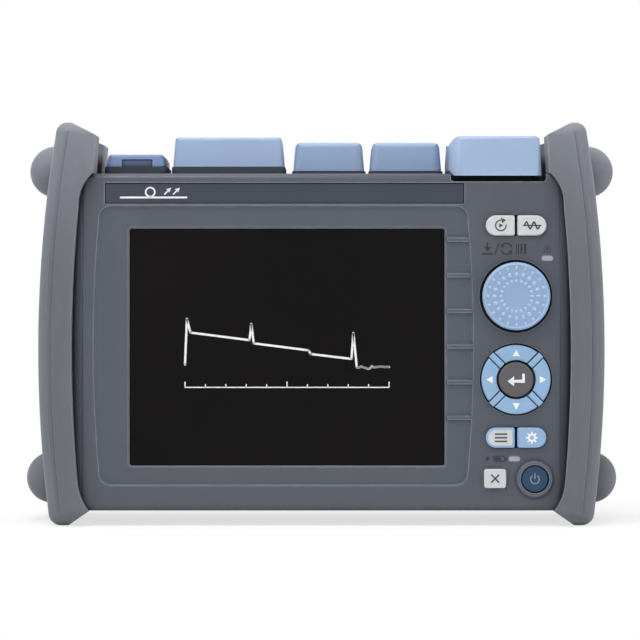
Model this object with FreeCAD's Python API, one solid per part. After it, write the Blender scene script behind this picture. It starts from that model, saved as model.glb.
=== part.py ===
"""Handheld optical time domain reflectometer: a rugged field tester with a 5.7 inch display.

The frame: +X right as the user faces the display, +Y away from the user, +Z up. The origin is at
the bottom centre, on the plane that the side guards stand on. All sizes are in millimetres.
"""
import FreeCAD
import Part
import math
import os
from FreeCAD import Vector

# ---- driving dimensions -------------------------------------------------------------------------
WIDTH = 211.0                 # over the side guards, without the corner bumpers
GUARD_TOP = 150.0             # height of the side guards, the tallest pieces
DEPTH = 69.0                  # over the side guards, front to back
GUARD_FRONT = -DEPTH / 2
GUARD_BACK = DEPTH / 2

CASE_HALF = 97.0              # half width of the housing inside the guards
CASE_BOTTOM = 5.4
CASE_TOP = 131.0
CASE_FRONT = -31.0
CASE_BACK = 31.0
SPLIT = -16.0                 # parting plane between front and rear shells
WALL = 2.5
CASE_CORNER = 8.0             # outline corner radius, seen from the front
FRONT_ROLL = 10.0             # roll of the face towards the guards
BACK_ROLL = 6.0
EDGE_ROLL = 2.0               # top and bottom edges of the shells
FIT = 0.2                     # gap between pieces that are assembled

WINDOW_X = (-71.5, 45.9)      # visible window over the display
WINDOW_Z = (22.2, 110.5)
SURROUND = CASE_FRONT + 0.6    # floor of the shallow recess round the display
GLASS_FRONT = -29.8            # front face of the display window
RIB_TOP = 107.5               # upper edge of the first soft-key rib
RIB_HEIGHT = 2.4
RIB_PITCH = 13.26
RIB_COUNT = 6

KEYS_X = 72.4                 # centre line of the key column
KNOB_Z = 85.3
KNOB_R = 12.6
PAD_Z = 54.3                  # centre of the arrow pad
PAD_R = 12.85
PAD_BORE = 7.25
ENTER_R = 6.5
PAIR_Z = {"upper": 111.6, "lower": 32.7}
PAIR_W = 22.6
PAIR_H = 7.5
ESC_AT = (64.6, 17.5)
ESC_SIZE = (8.3, 7.2)
POWER_AT = (79.4, 17.3)
POWER_R = 5.0
LASER_LAMP = (84.1, 99.4)
CHARGE_LAMP = (71.8, 24.8)
LAMP_SIZE = (4.2, 1.85)
KEY_GAP = 0.3
KEY_TRAVEL = 0.8
KEY_FRONT = -32.3             # front face of an unpressed key

PORT_PANEL_TOP = CASE_TOP
WELL_FLOOR = 120.7            # top of the floor that the connectors stand on
HINGE_Y = 21.0                # cover hinges, behind the four low covers
HINGE_Z = 135.2
PIN_R = 1.0

SCREWS = [(x, z) for x in (-89.0, 89.0) for z in (13.0, 69.8, 123.5)]

STAND_HINGE = (27.0, 88.0)    # y, z of the stand's pivot
STAND_LEG_X = (49.5, 58.5)    # one leg, mirrored for the other
STAND_FOOT_Z = (8.0, 16.6)

OUT = "parts"
os.makedirs(OUT, exist_ok=True)


# ---- helpers ------------------------------------------------------------------------------------
def at(plane, u, v, w):
    """A point from two coordinates in a plane and one across it."""
    return {"XZ": Vector(u, w, v), "XY": Vector(u, v, w), "YZ": Vector(w, u, v)}[plane]


def normal(plane):
    return {"XZ": Vector(0, 1, 0), "XY": Vector(0, 0, 1), "YZ": Vector(1, 0, 0)}[plane]


def rounded_wire(points, radii, plane, w):
    """Closed outline through the points, each corner rounded by its radius."""
    if not isinstance(radii, (list, tuple)):
        radii = [radii] * len(points)
    pts = [at(plane, u, v, w) for u, v in points]
    starts, ends, middles = [], [], []
    for i, p in enumerate(pts):
        before = (pts[i - 1] - p).normalize()
        after = (pts[(i + 1) % len(pts)] - p).normalize()
        half = before.getAngle(after) / 2
        r = radii[i]
        reach = r / math.tan(half) if r else 0
        starts.append(p + before * reach)
        ends.append(p + after * reach)
        bisector = (before + after).normalize() if r else Vector(0, 0, 0)
        middles.append(p + bisector * (r / math.sin(half) - r if r else 0))
    edges = []
    for i in range(len(pts)):
        if radii[i]:
            edges.append(Part.Arc(starts[i], middles[i], ends[i]).toShape())
        following = starts[(i + 1) % len(pts)]
        if (ends[i] - following).Length > 1e-6:
            edges.append(Part.LineSegment(ends[i], following).toShape())
    return Part.Wire(edges)


def prism(points, radii, plane, w0, w1):
    face = Part.Face(rounded_wire(points, radii, plane, w0))
    return face.extrude(normal(plane) * (w1 - w0))


def corners(u0, u1, v0, v1):
    return [(u0, v0), (u1, v0), (u1, v1), (u0, v1)]


def box(x, y, z):
    return Part.makeBox(x[1] - x[0], y[1] - y[0], z[1] - z[0], Vector(x[0], y[0], z[0]))


def plate_xz(x, z, radius, y0, y1):
    """A plate facing the user, with rounded corners."""
    return prism(corners(x[0], x[1], z[0], z[1]), radius, "XZ", y0, y1)


def rod_y(x, z, r, y0, y1):
    return Part.makeCylinder(r, y1 - y0, Vector(x, y0, z), Vector(0, 1, 0))


def rod_x(y, z, r, x0, x1):
    return Part.makeCylinder(r, x1 - x0, Vector(x0, y, z), Vector(1, 0, 0))


def rod_z(x, y, r, z0, z1):
    return Part.makeCylinder(r, z1 - z0, Vector(x, y, z0), Vector(0, 0, 1))


def fuse(*shapes):
    shapes = list(shapes)
    return shapes[0].fuse(shapes[1:]).removeSplitter() if len(shapes) > 1 else shapes[0]


def cut(shape, *tools):
    return shape.cut(list(tools)) if tools else shape


def mirrored(shape):
    return shape.mirror(Vector(0, 0, 0), Vector(1, 0, 0))


def edges_where(shape, test):
    return [e for e in shape.Edges if test(e)]


def soften(shape, radius, test):
    """Rounds the edges that the test picks."""
    picked = edges_where(shape, test)
    return shape.makeFillet(radius, picked)


def bevelled(shape, size, test):
    """Breaks the edges that the test picks."""
    return shape.makeChamfer(size, edges_where(shape, test))


def in_plane(edge, axis, value):
    return all(abs(getattr(v.Point, axis) - value) < 1e-4 for v in edge.Vertexes)


def along(edge, axis):
    """True for a straight edge that runs along the axis."""
    box_ = edge.BoundBox
    size = {"x": box_.XLength, "y": box_.YLength, "z": box_.ZLength}
    return size.pop(axis) > 1e-3 and max(size.values()) < 1e-4


def save(node, *solids):
    shape = Part.makeCompound(list(solids)) if len(solids) > 1 else solids[0]
    if len(solids) == 1 and len(shape.Solids) == 1:
        shape = shape.Solids[0]
    shape.exportStep(os.path.join(OUT, node + ".step"))


# ---- housing ------------------------------------------------------------------------------------
def envelope(grow, y0, y1):
    """The housing's outer form between two depths, grown or shrunk all round."""
    half, low, top = CASE_HALF + grow, CASE_BOTTOM - grow, CASE_TOP + grow
    front, back = CASE_FRONT - grow, CASE_BACK + grow
    plan = prism(corners(-half, half, front, back),
                 [FRONT_ROLL, FRONT_ROLL, BACK_ROLL, BACK_ROLL], "XY", low - 1, top + 1)
    outline = prism(corners(-half, half, low, top), CASE_CORNER + grow, "XZ", y0, y1)
    side = prism(corners(front, back, low, top), EDGE_ROLL, "YZ", -half - 1, half + 1)
    return plan.common(outline).common(side)


def surround():
    """Tool for the recess round the display: its sides bow outwards and its walls slope."""
    z0, z1, y0, y1 = 14.8, 118.8, CASE_FRONT - 1, SURROUND
    zm = (z0 + z1) / 2
    left, right, bow = -82.3, 54.0, 2.5
    corner = [Vector(left, y0, z0), Vector(right, y0, z0), Vector(right, y0, z1), Vector(left, y0, z1)]
    wire = Part.Wire([
        Part.LineSegment(corner[0], corner[1]).toShape(),
        Part.Arc(corner[1], Vector(right + bow, y0, zm), corner[2]).toShape(),
        Part.LineSegment(corner[2], corner[3]).toShape(),
        Part.Arc(corner[3], Vector(left - bow, y0, zm), corner[0]).toShape()])
    solid = Part.Face(wire).extrude(Vector(0, y1 - y0, 0))
    solid = soften(solid, 4.5, lambda e: along(e, "y"))
    return bevelled(solid, 0.5, lambda e: in_plane(e, "y", y1))


def soft_key_ribs():
    """Bars that bridge the recess beside the display and part its soft keys."""
    ribs = []
    for i in range(RIB_COUNT):
        top = RIB_TOP - i * RIB_PITCH
        section = [(SURROUND + 0.2, top), (CASE_FRONT, top - 0.5), (CASE_FRONT, top - RIB_HEIGHT + 0.5),
                   (SURROUND + 0.2, top - RIB_HEIGHT)]
        ribs.append(prism(section, 0, "YZ", 46.8, 57.4))
    return ribs


def pair_hole(z, grow, y0, y1):
    half_w, half_h = PAIR_W / 2 + grow, PAIR_H / 2 + grow
    return plate_xz((KEYS_X - half_w, KEYS_X + half_w), (z - half_h, z + half_h), half_h - 0.01, y0, y1)


def frustum_window(x, z, grow, y0, y1, radius):
    """Bevel round an opening: wider by grow at y0 than at y1."""
    wide = corners(x[0] - grow, x[1] + grow, z[0] - grow, z[1] + grow)
    tight = corners(x[0], x[1], z[0], z[1])
    return Part.makeLoft([rounded_wire(wide, radius + grow, "XZ", y0),
                          rounded_wire(tight, radius, "XZ", y1)], True, True)


NOTCH_X = (48.2, 83.6)        # recess in the face's top edge under the front lip of the large cover
NOTCH_FLOOR = 128.0


def front_case():
    shell = cut(envelope(0, CASE_FRONT, SPLIT), envelope(-WALL, CASE_FRONT, SPLIT + 1))
    inner = CASE_FRONT + WALL
    bosses = [rod_y(x, z, 3.5, inner - 0.5, SPLIT - 0.05) for x, z in SCREWS]
    shelf = box((NOTCH_X[0] - 2, NOTCH_X[1] + 2), (CASE_FRONT + 1, SPLIT), (NOTCH_FLOOR - 2, CASE_TOP - 1))
    well = rod_y(KEYS_X, KNOB_Z, KNOB_R + 2.2, inner - 0.5, -25.1)
    collar = rod_y(*POWER_AT, 7.0, CASE_FRONT - 1.2, inner)
    collar = bevelled(collar, 0.7, lambda e: in_plane(e, "y", CASE_FRONT - 1.2))
    body = fuse(cut(fuse(shell, shelf, well, *bosses), surround()), collar, *soft_key_ribs())
    y0, y1 = CASE_FRONT - 3, inner + 1
    holes = [plate_xz(WINDOW_X, WINDOW_Z, 1.0, y0, y1),
             frustum_window(WINDOW_X, WINDOW_Z, 0.6, SURROUND - 0.02, SURROUND + 0.33, 1.0),
             plate_xz((WINDOW_X[0] - 1.8, WINDOW_X[1] + 1.8), (WINDOW_Z[0] - 1.8, WINDOW_Z[1] + 1.8),
                      1.5, GLASS_FRONT - 0.05, y1),
             plate_xz((-80.6, 53.2), (119.7, 127.5), 0.4, CASE_FRONT - 1, CASE_FRONT + 0.8),
             pair_hole(PAIR_Z["upper"], KEY_GAP, y0, y1),
             pair_hole(PAIR_Z["lower"], KEY_GAP, y0, y1),
             rod_y(KEYS_X, PAD_Z, PAD_R + 0.6, y0, y1),
             rod_y(KEYS_X, KNOB_Z, KNOB_R + 1.0, y0, -26.3),
             rod_y(KEYS_X, KNOB_Z, 3.6, y0, -20),
             plate_xz((ESC_AT[0] - ESC_SIZE[0] / 2 - KEY_GAP, ESC_AT[0] + ESC_SIZE[0] / 2 + KEY_GAP),
                      (ESC_AT[1] - ESC_SIZE[1] / 2 - KEY_GAP, ESC_AT[1] + ESC_SIZE[1] / 2 + KEY_GAP),
                      1.3, y0, y1),
             rod_y(*POWER_AT, POWER_R + KEY_GAP, y0, y1),
             prism(corners(*NOTCH_X, NOTCH_FLOOR, CASE_TOP + 1), [1.2, 1.2, 0, 0], "XZ",
                   CASE_FRONT - 1, SPLIT + 1)]
    holes += [lamp(centre, 0.05, y0, y1) for centre in (LASER_LAMP, CHARGE_LAMP)]
    holes += [rod_y(x, z, 1.5, -24, SPLIT + 1) for x, z in SCREWS]
    return cut(body, *holes)


def lamp(centre, grow, y0, y1):
    half_w, half_h = LAMP_SIZE[0] / 2 + grow, LAMP_SIZE[1] / 2 + grow
    return plate_xz((centre[0] - half_w, centre[0] + half_w), (centre[1] - half_h, centre[1] + half_h),
                    half_h - 0.01, y0, y1)


PANEL_X = (-83.0, 86.0)
PANEL_Y = (-14.5, 20.5)
PANEL_THICK = 1.5

BAY_X = (-40.0, 40.0)         # battery bay in the back
BAY_Z = (24.0, 79.0)
BAY_FLOOR = 9.2
COVER_X = (-44.0, 44.0)
COVER_Z = (20.0, 88.0)
COVER_INNER = 28.8            # inner face of the battery cover
COVER_SCREWS = [(-34.0, 83.6), (34.0, 83.6)]
SPEAKER_AT = (0.0, 108.0)


def stand_channels(grow):
    """The U-shaped recess in the back that the folded stand lies in."""
    x0, x1 = STAND_LEG_X[0] - grow, STAND_LEG_X[1] + grow
    legs = [box((x0, x1), (26.1, 40), (STAND_FOOT_Z[0] - grow, 92.6)),
            box((-x1, -x0), (26.1, 40), (STAND_FOOT_Z[0] - grow, 92.6))]
    knuckles = [box((x0, x1), (22.4, 40), (83.2, 92.6)), box((-x1, -x0), (22.4, 40), (83.2, 92.6))]
    foot = box((-x1, x1), (26.1, 40), (STAND_FOOT_Z[0] - grow, STAND_FOOT_Z[1] + grow))
    finger = box((-9, 9), (26.1, 40), (STAND_FOOT_Z[0] - grow, 20.6))
    inside, over = x0 + grow - 0.4, STAND_FOOT_Z[1] + grow
    gusset = prism([(inside - 2.8, over - 0.1), (inside + 0.1, over - 0.1), (inside + 0.1, over + 2.8)], 0,
                   "XZ", 26.1, 40)
    return fuse(*legs, *knuckles, foot, gusset, mirrored(gusset)), finger


def rear_case():
    shell = cut(envelope(0, SPLIT, CASE_BACK), envelope(-WALL, SPLIT - 1, CASE_BACK - WALL))
    inner = CASE_BACK - WALL
    bosses = [rod_y(x, z, 4.2, SPLIT + 0.05, inner + 1) for x, z in SCREWS]
    tub = box((BAY_X[0] - 1.5, BAY_X[1] + 1.5), (BAY_FLOOR - 1.5, inner + 0.5),
              (BAY_Z[0] - 1.5, BAY_Z[1] + 1.5))
    pad = box((COVER_X[0] - 2.2, COVER_X[1] + 2.2), (26.3, inner + 0.5), (COVER_Z[0] - 2.2, COVER_Z[1] + 2.2))
    screw_seats = [rod_y(x, z, 3.4, 20, 27) for x, z in COVER_SCREWS]
    x0, x1 = STAND_LEG_X[0] - 2.6, STAND_LEG_X[1] + 2.6
    rails = []
    for a, b in ((x0, x1), (-x1, -x0)):
        rails.append(box((a, b), (24.1, inner + 0.5), (CASE_BOTTOM + 1, 95.0)))
        rails.append(box((a, b), (20.6, inner + 0.5), (81.4, 95.0)))
    foot_pad = box((-x1, x1), (24.1, inner + 0.5), (CASE_BOTTOM + 1, 19.2))
    body = fuse(shell, tub, pad, foot_pad, *screw_seats, *rails, *bosses)
    channel, finger = stand_channels(0.4)
    tools = [channel, finger,
             box(BAY_X, (BAY_FLOOR, 40), BAY_Z),
             plate_xz((COVER_X[0] - FIT, COVER_X[1] + FIT), (COVER_Z[0] - FIT, COVER_Z[1] + FIT), 2.2,
                      COVER_INNER - 0.05, 40),
             box((PANEL_X[0] - FIT, PANEL_X[1] + FIT), (PANEL_Y[0] - FIT, PANEL_Y[1] + FIT),
                 (PORT_PANEL_TOP - PANEL_THICK - 0.02, CASE_TOP + 1)),
             box((PANEL_X[0] + 1.2, PANEL_X[1] - 1.2), (PANEL_Y[0] + 1.2, PANEL_Y[1] - 1.2),
                 (120, CASE_TOP + 1))]
    for x, z in SCREWS:
        tools += [rod_y(x, z, 1.7, SPLIT - 1, 12), rod_y(x, z, 3.1, 9.6, 40)]
    tools += [rod_y(x, z, 1.25, 21, 30) for x, z in COVER_SCREWS]
    pivot_y, pivot_z = STAND_HINGE
    tools += [rod_x(pivot_y, pivot_z, 1.55, STAND_LEG_X[0] - 2.2, STAND_LEG_X[1] + 2.2),
              rod_x(pivot_y, pivot_z, 1.55, -STAND_LEG_X[1] - 2.2, -STAND_LEG_X[0] + 2.2)]
    for side in (-1, 1):
        for i in range(6):
            z = 100.0 + 4.2 * i
            tools.append(box(sorted((side * 34.0, side * 62.0)), (27, 40), (z - 0.8, z + 0.8)))
    return cut(body, *tools, *speaker_slots())


def speaker_slots():
    """Slots in front of the speaker: their ends lie on a circle."""
    slots = []
    for dz in (-7.2, -4.8, -2.4, 0.0, 2.4, 4.8, 7.2):
        reach = math.sqrt(9.6 ** 2 - dz ** 2)
        slots.append(box((SPEAKER_AT[0] - reach, SPEAKER_AT[0] + reach), (27, 40),
                         (SPEAKER_AT[1] + dz - 0.6, SPEAKER_AT[1] + dz + 0.6)))
    return slots


# ---- side guards --------------------------------------------------------------------------------
EAR_GAP = (-14.0, 8.0)        # depth range of the strap slot between the two ears
EAR_OUTER = 94.4              # outer wall of the strap slot
STRAP_AT = (88.2, 139.0)
BUMPER_R = 9.7
BUMPERS = ((102.7, 16.3), (101.4, 132.7))   # x, z of the lower and upper corner bumpers
BUMPER_Y = (-4.0, 18.0)


def guard_outline(y):
    """Front view of the right guard: bowed outer side, sloped ears, inner edge that overlaps the face."""
    def p(x, z):
        return Vector(x, y, z)
    top_in, top_out = p(93.2, GUARD_TOP), p(98.2, GUARD_TOP)
    low_out, low_in = p(101.1, 0), p(94.2, 0)
    foot, waist_low, waist_high = p(86.4, CASE_BOTTOM), p(90.6, 15.0), p(90.2, 119.0)
    shoulder, ear_high = p(84.9, 131.25), p(84.0, 145.3)
    return Part.Wire([
        Part.LineSegment(top_in, top_out).toShape(),
        Part.Arc(top_out, p(WIDTH / 2, 71.0), low_out).toShape(),
        Part.LineSegment(low_out, low_in).toShape(),
        Part.LineSegment(low_in, foot).toShape(),
        Part.Arc(foot, p(89.3, 10.3), waist_low).toShape(),
        Part.Arc(waist_low, p(92.95, 65.0), waist_high).toShape(),
        Part.Arc(waist_high, p(88.5, 126.6), shoulder).toShape(),
        Part.LineSegment(shoulder, ear_high).toShape(),
        Part.LineSegment(ear_high, top_in).toShape()])


def capsule(x, z, r, y0, y1):
    """A cylinder along Y with domed ends, turned from its half section."""
    half = Part.Wire([
        Part.LineSegment(Vector(x, y0 - r, z), Vector(x, y1 + r, z)).toShape(),
        Part.Arc(Vector(x, y1 + r, z), Vector(x + r * math.sqrt(0.5), y1 + r * math.sqrt(0.5), z),
                 Vector(x + r, y1, z)).toShape(),
        Part.LineSegment(Vector(x + r, y1, z), Vector(x + r, y0, z)).toShape(),
        Part.Arc(Vector(x + r, y0, z), Vector(x + r * math.sqrt(0.5), y0 - r * math.sqrt(0.5), z),
                 Vector(x, y0 - r, z)).toShape()])
    return Part.Face(half).revolve(Vector(x, 0, z), Vector(0, 1, 0), 360)


def guard_step():
    """Tool that sets the outer band of the front flange back, along a line parallel to the outer side."""
    def p(x, z):
        return Vector(x, GUARD_FRONT - 1, z)
    inner = WIDTH / 2 - 5.2
    band = Part.Wire([
        Part.Arc(p(92.6, 153.0), p(inner, 71.0), p(95.7, -3.0)).toShape(),
        Part.LineSegment(p(95.7, -3.0), p(125.0, -3.0)).toShape(),
        Part.LineSegment(p(125.0, -3.0), p(125.0, 153.0)).toShape(),
        Part.LineSegment(p(125.0, 153.0), p(92.6, 153.0)).toShape()])
    return Part.Face(band).extrude(Vector(0, 1.3, 0))


def right_guard():
    block = Part.Face(guard_outline(GUARD_FRONT)).extrude(Vector(0, DEPTH, 0))
    block = soften(block, 4.0, lambda e: along(e, "y") and e.BoundBox.XMin > 97 and e.BoundBox.ZMin > 100)
    block = soften(block, 4.6, lambda e: along(e, "y") and e.BoundBox.XMin > 97 and e.BoundBox.ZMax < 50)
    for depth, roll in ((GUARD_FRONT, 5.0), (GUARD_BACK, 3.6)):
        block = soften(block, roll, lambda e: in_plane(e, "y", depth) and e.BoundBox.XMin > 92.9
                       and not (e.BoundBox.XMax < 97 and 1 < e.BoundBox.ZMin < 149))
    for x, z in BUMPERS:
        block = block.fuse(capsule(x, z, BUMPER_R, *BUMPER_Y))
    rear_ear = prism([(70, CASE_TOP), (102.0, CASE_TOP), (98.7, 147.0), (92.6, 147.0), (70, 138.2)],
                     [0, 0, 4.0, 0, 0], "XZ", EAR_GAP[1], GUARD_BACK + 1)
    over_ear = cut(box((70, 102), (EAR_GAP[1], GUARD_BACK + 1), (CASE_TOP, 160)), rear_ear)
    tools = [envelope(FIT, CASE_FRONT - FIT, CASE_BACK + FIT), over_ear,
             box((80, 93.8), (CASE_BACK, 40), (-1, CASE_TOP + 0.5)),
             box((80, EAR_OUTER), EAR_GAP, (CASE_TOP + 0.25, 160)),
             prism([(70, 29.0), (93.8, 32.6), (93.8, 40), (70, 40)], 0, "XY", CASE_TOP, 160),
             guard_step(),
             rod_y(*STRAP_AT, 1.55, -18.2, 12.2)]
    for tool in tools:
        block = block.cut(tool)
    return block


# ---- port panel, bases and covers ---------------------------------------------------------------
COVERS = {
    "power_inlet": {"x": (-81.6, -58.9), "top": 139.0, "sill": 134.2, "round": 1.6, "corner": 2.4},
    "data_port": {"x": (-56.2, -14.2), "top": 145.5, "sill": 134.2, "round": 1.4, "corner": 2.2},
    "light_source": {"x": (-10.7, 16.2), "top": 143.5, "sill": 132.6, "round": 2.2, "corner": 3.0},
    "power_meter": {"x": (18.3, 45.4), "top": 143.5, "sill": 132.6, "round": 2.2, "corner": 3.0},
}
COVER_Y = (-13.6, 17.6)
COVER_WALL = 1.5
COVER_DRAFT = 0.9
WELL_Y = (-10.2, 13.6)
LARGE_X = (47.6, 82.0)        # the large cover over the main port
LARGE_Y = (-31.4, 6.0)
LARGE_TOP = 145.0
LARGE_LIP = 130.2             # its front skirt hangs lower, into the notch
LARGE_SILL = 132.6
LARGE_HINGE = (7.0, 141.5)
LARGE_WELL_Y = (-11.6, 5.0)


def drafted(x, y, z, inset, corner):
    """A block whose sides lean in by inset from bottom to top."""
    low = rounded_wire(corners(x[0], x[1], y[0], y[1]), corner, "XY", z[0])
    high = rounded_wire(corners(x[0] + inset, x[1] - inset, y[0] + inset, y[1] - inset), corner, "XY", z[1])
    return Part.makeLoft([low, high], True, True)


def cap(x, y, z, corner, top_round):
    """A hollow cover, open below: its top edges are rounded in the front view and in the side view."""
    outer = drafted(x, y, z, COVER_DRAFT, corner)
    for span, depth, plane in ((x, y, "XZ"), (y, x, "YZ")):
        section = [(span[0], z[0]), (span[1], z[0]),
                   (span[1] - COVER_DRAFT, z[1]), (span[0] + COVER_DRAFT, z[1])]
        outer = outer.common(prism(section, [0, 0, top_round, top_round], plane, depth[0], depth[1]))
    w = COVER_WALL
    inner = drafted((x[0] + w, x[1] - w), (y[0] + w, y[1] - w), (z[0] - 0.01, z[1] - w), COVER_DRAFT,
                    max(corner - w, 0.6))
    return outer, inner


def hinged_cover(spec):
    """One of the four low covers: a cap with a hinge barrel on an arm behind it."""
    x, sill = spec["x"], spec["sill"] + 0.1
    outer, inner = cap(x, COVER_Y, (sill, spec["top"]), spec["corner"], spec["round"])
    barrel = rod_x(HINGE_Y, HINGE_Z, 2.2, x[0] + 4.3, x[1] - 4.3)
    arm = box((x[0] + 4.3, x[1] - 4.3), (COVER_Y[1] - 1.4, HINGE_Y), (HINGE_Z - 0.4, HINGE_Z + 2.2))
    body = fuse(outer, barrel, arm)
    tools = [inner, rod_x(HINGE_Y, HINGE_Z, PIN_R + 0.06, x[0], x[1])]
    return body, tools


def power_inlet_cover():
    spec = COVERS["power_inlet"]
    body, tools = hinged_cover(spec)
    middle = sum(spec["x"]) / 2 + 0.5
    nail_notch = plate_xz((middle - 5.8, middle + 5.8), (130.0, spec["sill"] + 2.9), 0.5, -15, -12.6)
    return cut(body, nail_notch, *tools)


def port_base(spec, extra=()):
    """A cup in the port panel: sill, well and the hinge lugs behind it."""
    x, sill = spec["x"], spec["sill"]
    flange = prism(corners(x[0] - 0.5, x[1] + 0.5, COVER_Y[0] - 0.5, COVER_Y[1] + 0.4), 2.4, "XY",
                   PORT_PANEL_TOP, sill)
    tail = box((x[0] + 0.4, x[1] - 0.4), (COVER_Y[1], 23.4), (PORT_PANEL_TOP, PORT_PANEL_TOP + 1.0))
    lugs = []
    for a in (x[0] + 0.6, x[1] - 4.0):
        lug = fuse(box((a, a + 3.4), (18.6, 23.4), (PORT_PANEL_TOP, HINGE_Z)),
                   rod_x(HINGE_Y, HINGE_Z, 2.4, a, a + 3.4))
        lugs.append(lug)
    cup = box((x[0] + 1.8, x[1] - 1.8), (WELL_Y[0] - 1.2, WELL_Y[1] + 1.2), (WELL_FLOOR - 1.2, sill - 0.2))
    body = fuse(flange, tail, cup, *lugs, *extra)
    hollow = box((x[0] + 3.0, x[1] - 3.0), WELL_Y, (WELL_FLOOR, sill + 1))
    return cut(body, hollow, rod_x(HINGE_Y, HINGE_Z, PIN_R + 0.03, x[0], x[1]))


def port_panel():
    holes = []
    for spec in COVERS.values():
        x = spec["x"]
        holes.append(box((x[0] + 1.6, x[1] - 1.6), (WELL_Y[0] - 1.4, WELL_Y[1] + 1.4), (120, 140)))
    holes.append(box((LARGE_X[0] + 1.6, LARGE_X[1] - 1.6),
                     (LARGE_WELL_Y[0] - 1.4, LARGE_WELL_Y[1] + 1.4), (120, 140)))
    plate = box(PANEL_X, PANEL_Y, (PORT_PANEL_TOP - PANEL_THICK, PORT_PANEL_TOP))
    return cut(plate, *holes)


def rounded_block(x, y, z, plan, face, side):
    """A block rounded in three views: the radii of its corners in plan, from the front and from the side."""
    top = prism(corners(*x, *y), plan, "XY", z[0], z[1])
    front = prism([(x[0], z[0]), (x[1], z[0]), (x[1] - 0.9, z[1]), (x[0] + 0.3, z[1])], face,
                  "XZ", y[0], y[1])
    end = prism(corners(*y, *z), side, "YZ", x[0], x[1])
    return top.common(front).common(end)


def large_cover():
    """The cap over the main port: it reaches forward over the face and hinges at its upper back edge."""
    w = COVER_WALL
    outer = rounded_block(LARGE_X, LARGE_Y, (LARGE_LIP, LARGE_TOP), [5.0, 1.8, 1.6, 1.6], [0, 0, 1.8, 4.4],
                          [0, 0, 3.4, 1.6])
    inner = rounded_block((LARGE_X[0] + w, LARGE_X[1] - w), (LARGE_Y[0] + w, LARGE_Y[1] - w),
                          (LARGE_LIP - 0.01, LARGE_TOP - w), [3.6, 0.6, 0.6, 0.6], [0, 0, 0.6, 3.0],
                          [0, 0, 2.0, 0.6])
    open_back = box((LARGE_X[0] + w + 0.9, LARGE_X[1] - w - 0.9), (LARGE_Y[1] - 3, LARGE_Y[1] + 2),
                    (120, LARGE_TOP - w))
    over_deck = box((40, 90), (SPLIT - 0.3, 40), (120, LARGE_SILL + 0.1))
    lean = prism([(40, 120), (NOTCH_X[0] + 1.2, 120), (NOTCH_X[0] + 1.2, LARGE_LIP),
                  (LARGE_X[0] - 0.2, 132.7), (40, 132.7)], 0, "XZ", -40, 40)
    hinge_y, hinge_z = LARGE_HINGE
    barrel_x = (LARGE_X[0] + 8.1, LARGE_X[1] - 5.8)
    barrel = rod_x(hinge_y, hinge_z, 2.1, *barrel_x)
    arm = box(barrel_x, (LARGE_Y[1] - 4, hinge_y), (hinge_z + 0.6, hinge_z + 2.1))
    body = cut(outer, inner, open_back, over_deck, lean)
    body = fuse(body, barrel, arm)
    return cut(body, rod_x(hinge_y, hinge_z, PIN_R + 0.06, 40, 90))


def main_port_base():
    """Base of the main port: a well in front and a tall cowl behind that carries the hinge."""
    x = LARGE_X
    sill = prism(corners(x[0] - 0.3, x[1] + 0.3, -14.4, 26.0), 1.6, "XY", PORT_PANEL_TOP, LARGE_SILL)
    cowl = prism([(6.7, 131.5), (27.0, 131.5), (25.0, 137.0), (12.5, 143.4), (6.7, 143.4)],
                 [0, 0, 2.0, 4.0, 0], "YZ", x[0] + 0.6, x[1] - 0.6)
    cup = box((x[0] + 1.8, x[1] - 1.8), (LARGE_WELL_Y[0] - 1.2, LARGE_WELL_Y[1] + 1.2),
              (WELL_FLOOR - 1.2, LARGE_SILL - 0.2))
    hinge_y, hinge_z = LARGE_HINGE
    lugs = [fuse(box((a, a + 2.6), (hinge_y - 2.2, hinge_y + 2.6), (LARGE_SILL - 0.5, hinge_z)),
                 rod_x(hinge_y, hinge_z, 2.2, a, a + 2.6)) for a in (x[0] + 5.2, x[1] - 5.5)]
    sweep = rod_x(hinge_y, hinge_z, 4.6, 40, 90)
    relief = box((40, 90), (hinge_y - 4, hinge_y + 4.6), (hinge_z, 160))
    body = fuse(sill, cut(cowl, sweep, relief), cup)
    body = fuse(body, *lugs)
    hollow = box((x[0] + 3.0, x[1] - 3.0), LARGE_WELL_Y, (WELL_FLOOR, LARGE_SILL + 1))
    return cut(body, hollow, rod_x(hinge_y, hinge_z, PIN_R + 0.03, 40, 90),
               rod_z(*ADAPTERS["otdr"], 4.1, 115, 125))


def hinge_pins():
    pins = [rod_x(HINGE_Y, HINGE_Z, PIN_R, spec["x"][0] + 0.7, spec["x"][1] - 0.7)
            for spec in COVERS.values()]
    pins.append(rod_x(*LARGE_HINGE, PIN_R, LARGE_X[0] + 5.3, LARGE_X[1] - 3.0))
    return pins


# ---- connectors ---------------------------------------------------------------------------------
ADAPTERS = {"light": (2.75, 1.7), "meter": (31.85, 1.7), "otdr": (65.95, -3.7)}
ADAPTER_TOP = 132.4
SLEEVE_Z = (121.4, 132.4)


def fibre_adapter(place):
    """Threaded round fibre adapter on a square flange."""
    x, y = place
    flange = prism(corners(x - 6.2, x + 6.2, y - 5.6, y + 5.6), 1.2, "XY", WELL_FLOOR, WELL_FLOOR + 1.3)
    barrel = rod_z(x, y, 4.0, 117.5, ADAPTER_TOP)
    barrel = barrel.makeChamfer(0.4, edges_where(barrel, lambda e: in_plane(e, "z", ADAPTER_TOP)))
    body = fuse(flange, barrel)
    bore = rod_z(x, y, 1.62, SLEEVE_Z[0], ADAPTER_TOP + 1)
    counterbore = rod_z(x, y, 3.1, 128.6, ADAPTER_TOP + 1)
    key_slot = box((x - 1.1, x + 1.1), (y - 5, y - 2.5), (129.4, ADAPTER_TOP + 1))
    screws = [rod_z(x + dx, y + dy, 0.8, WELL_FLOOR + 0.6, WELL_FLOOR + 2)
              for dx, dy in ((-4.9, -4.2), (4.9, 4.2))]
    return cut(body, bore, counterbore, key_slot, *screws)


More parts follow.
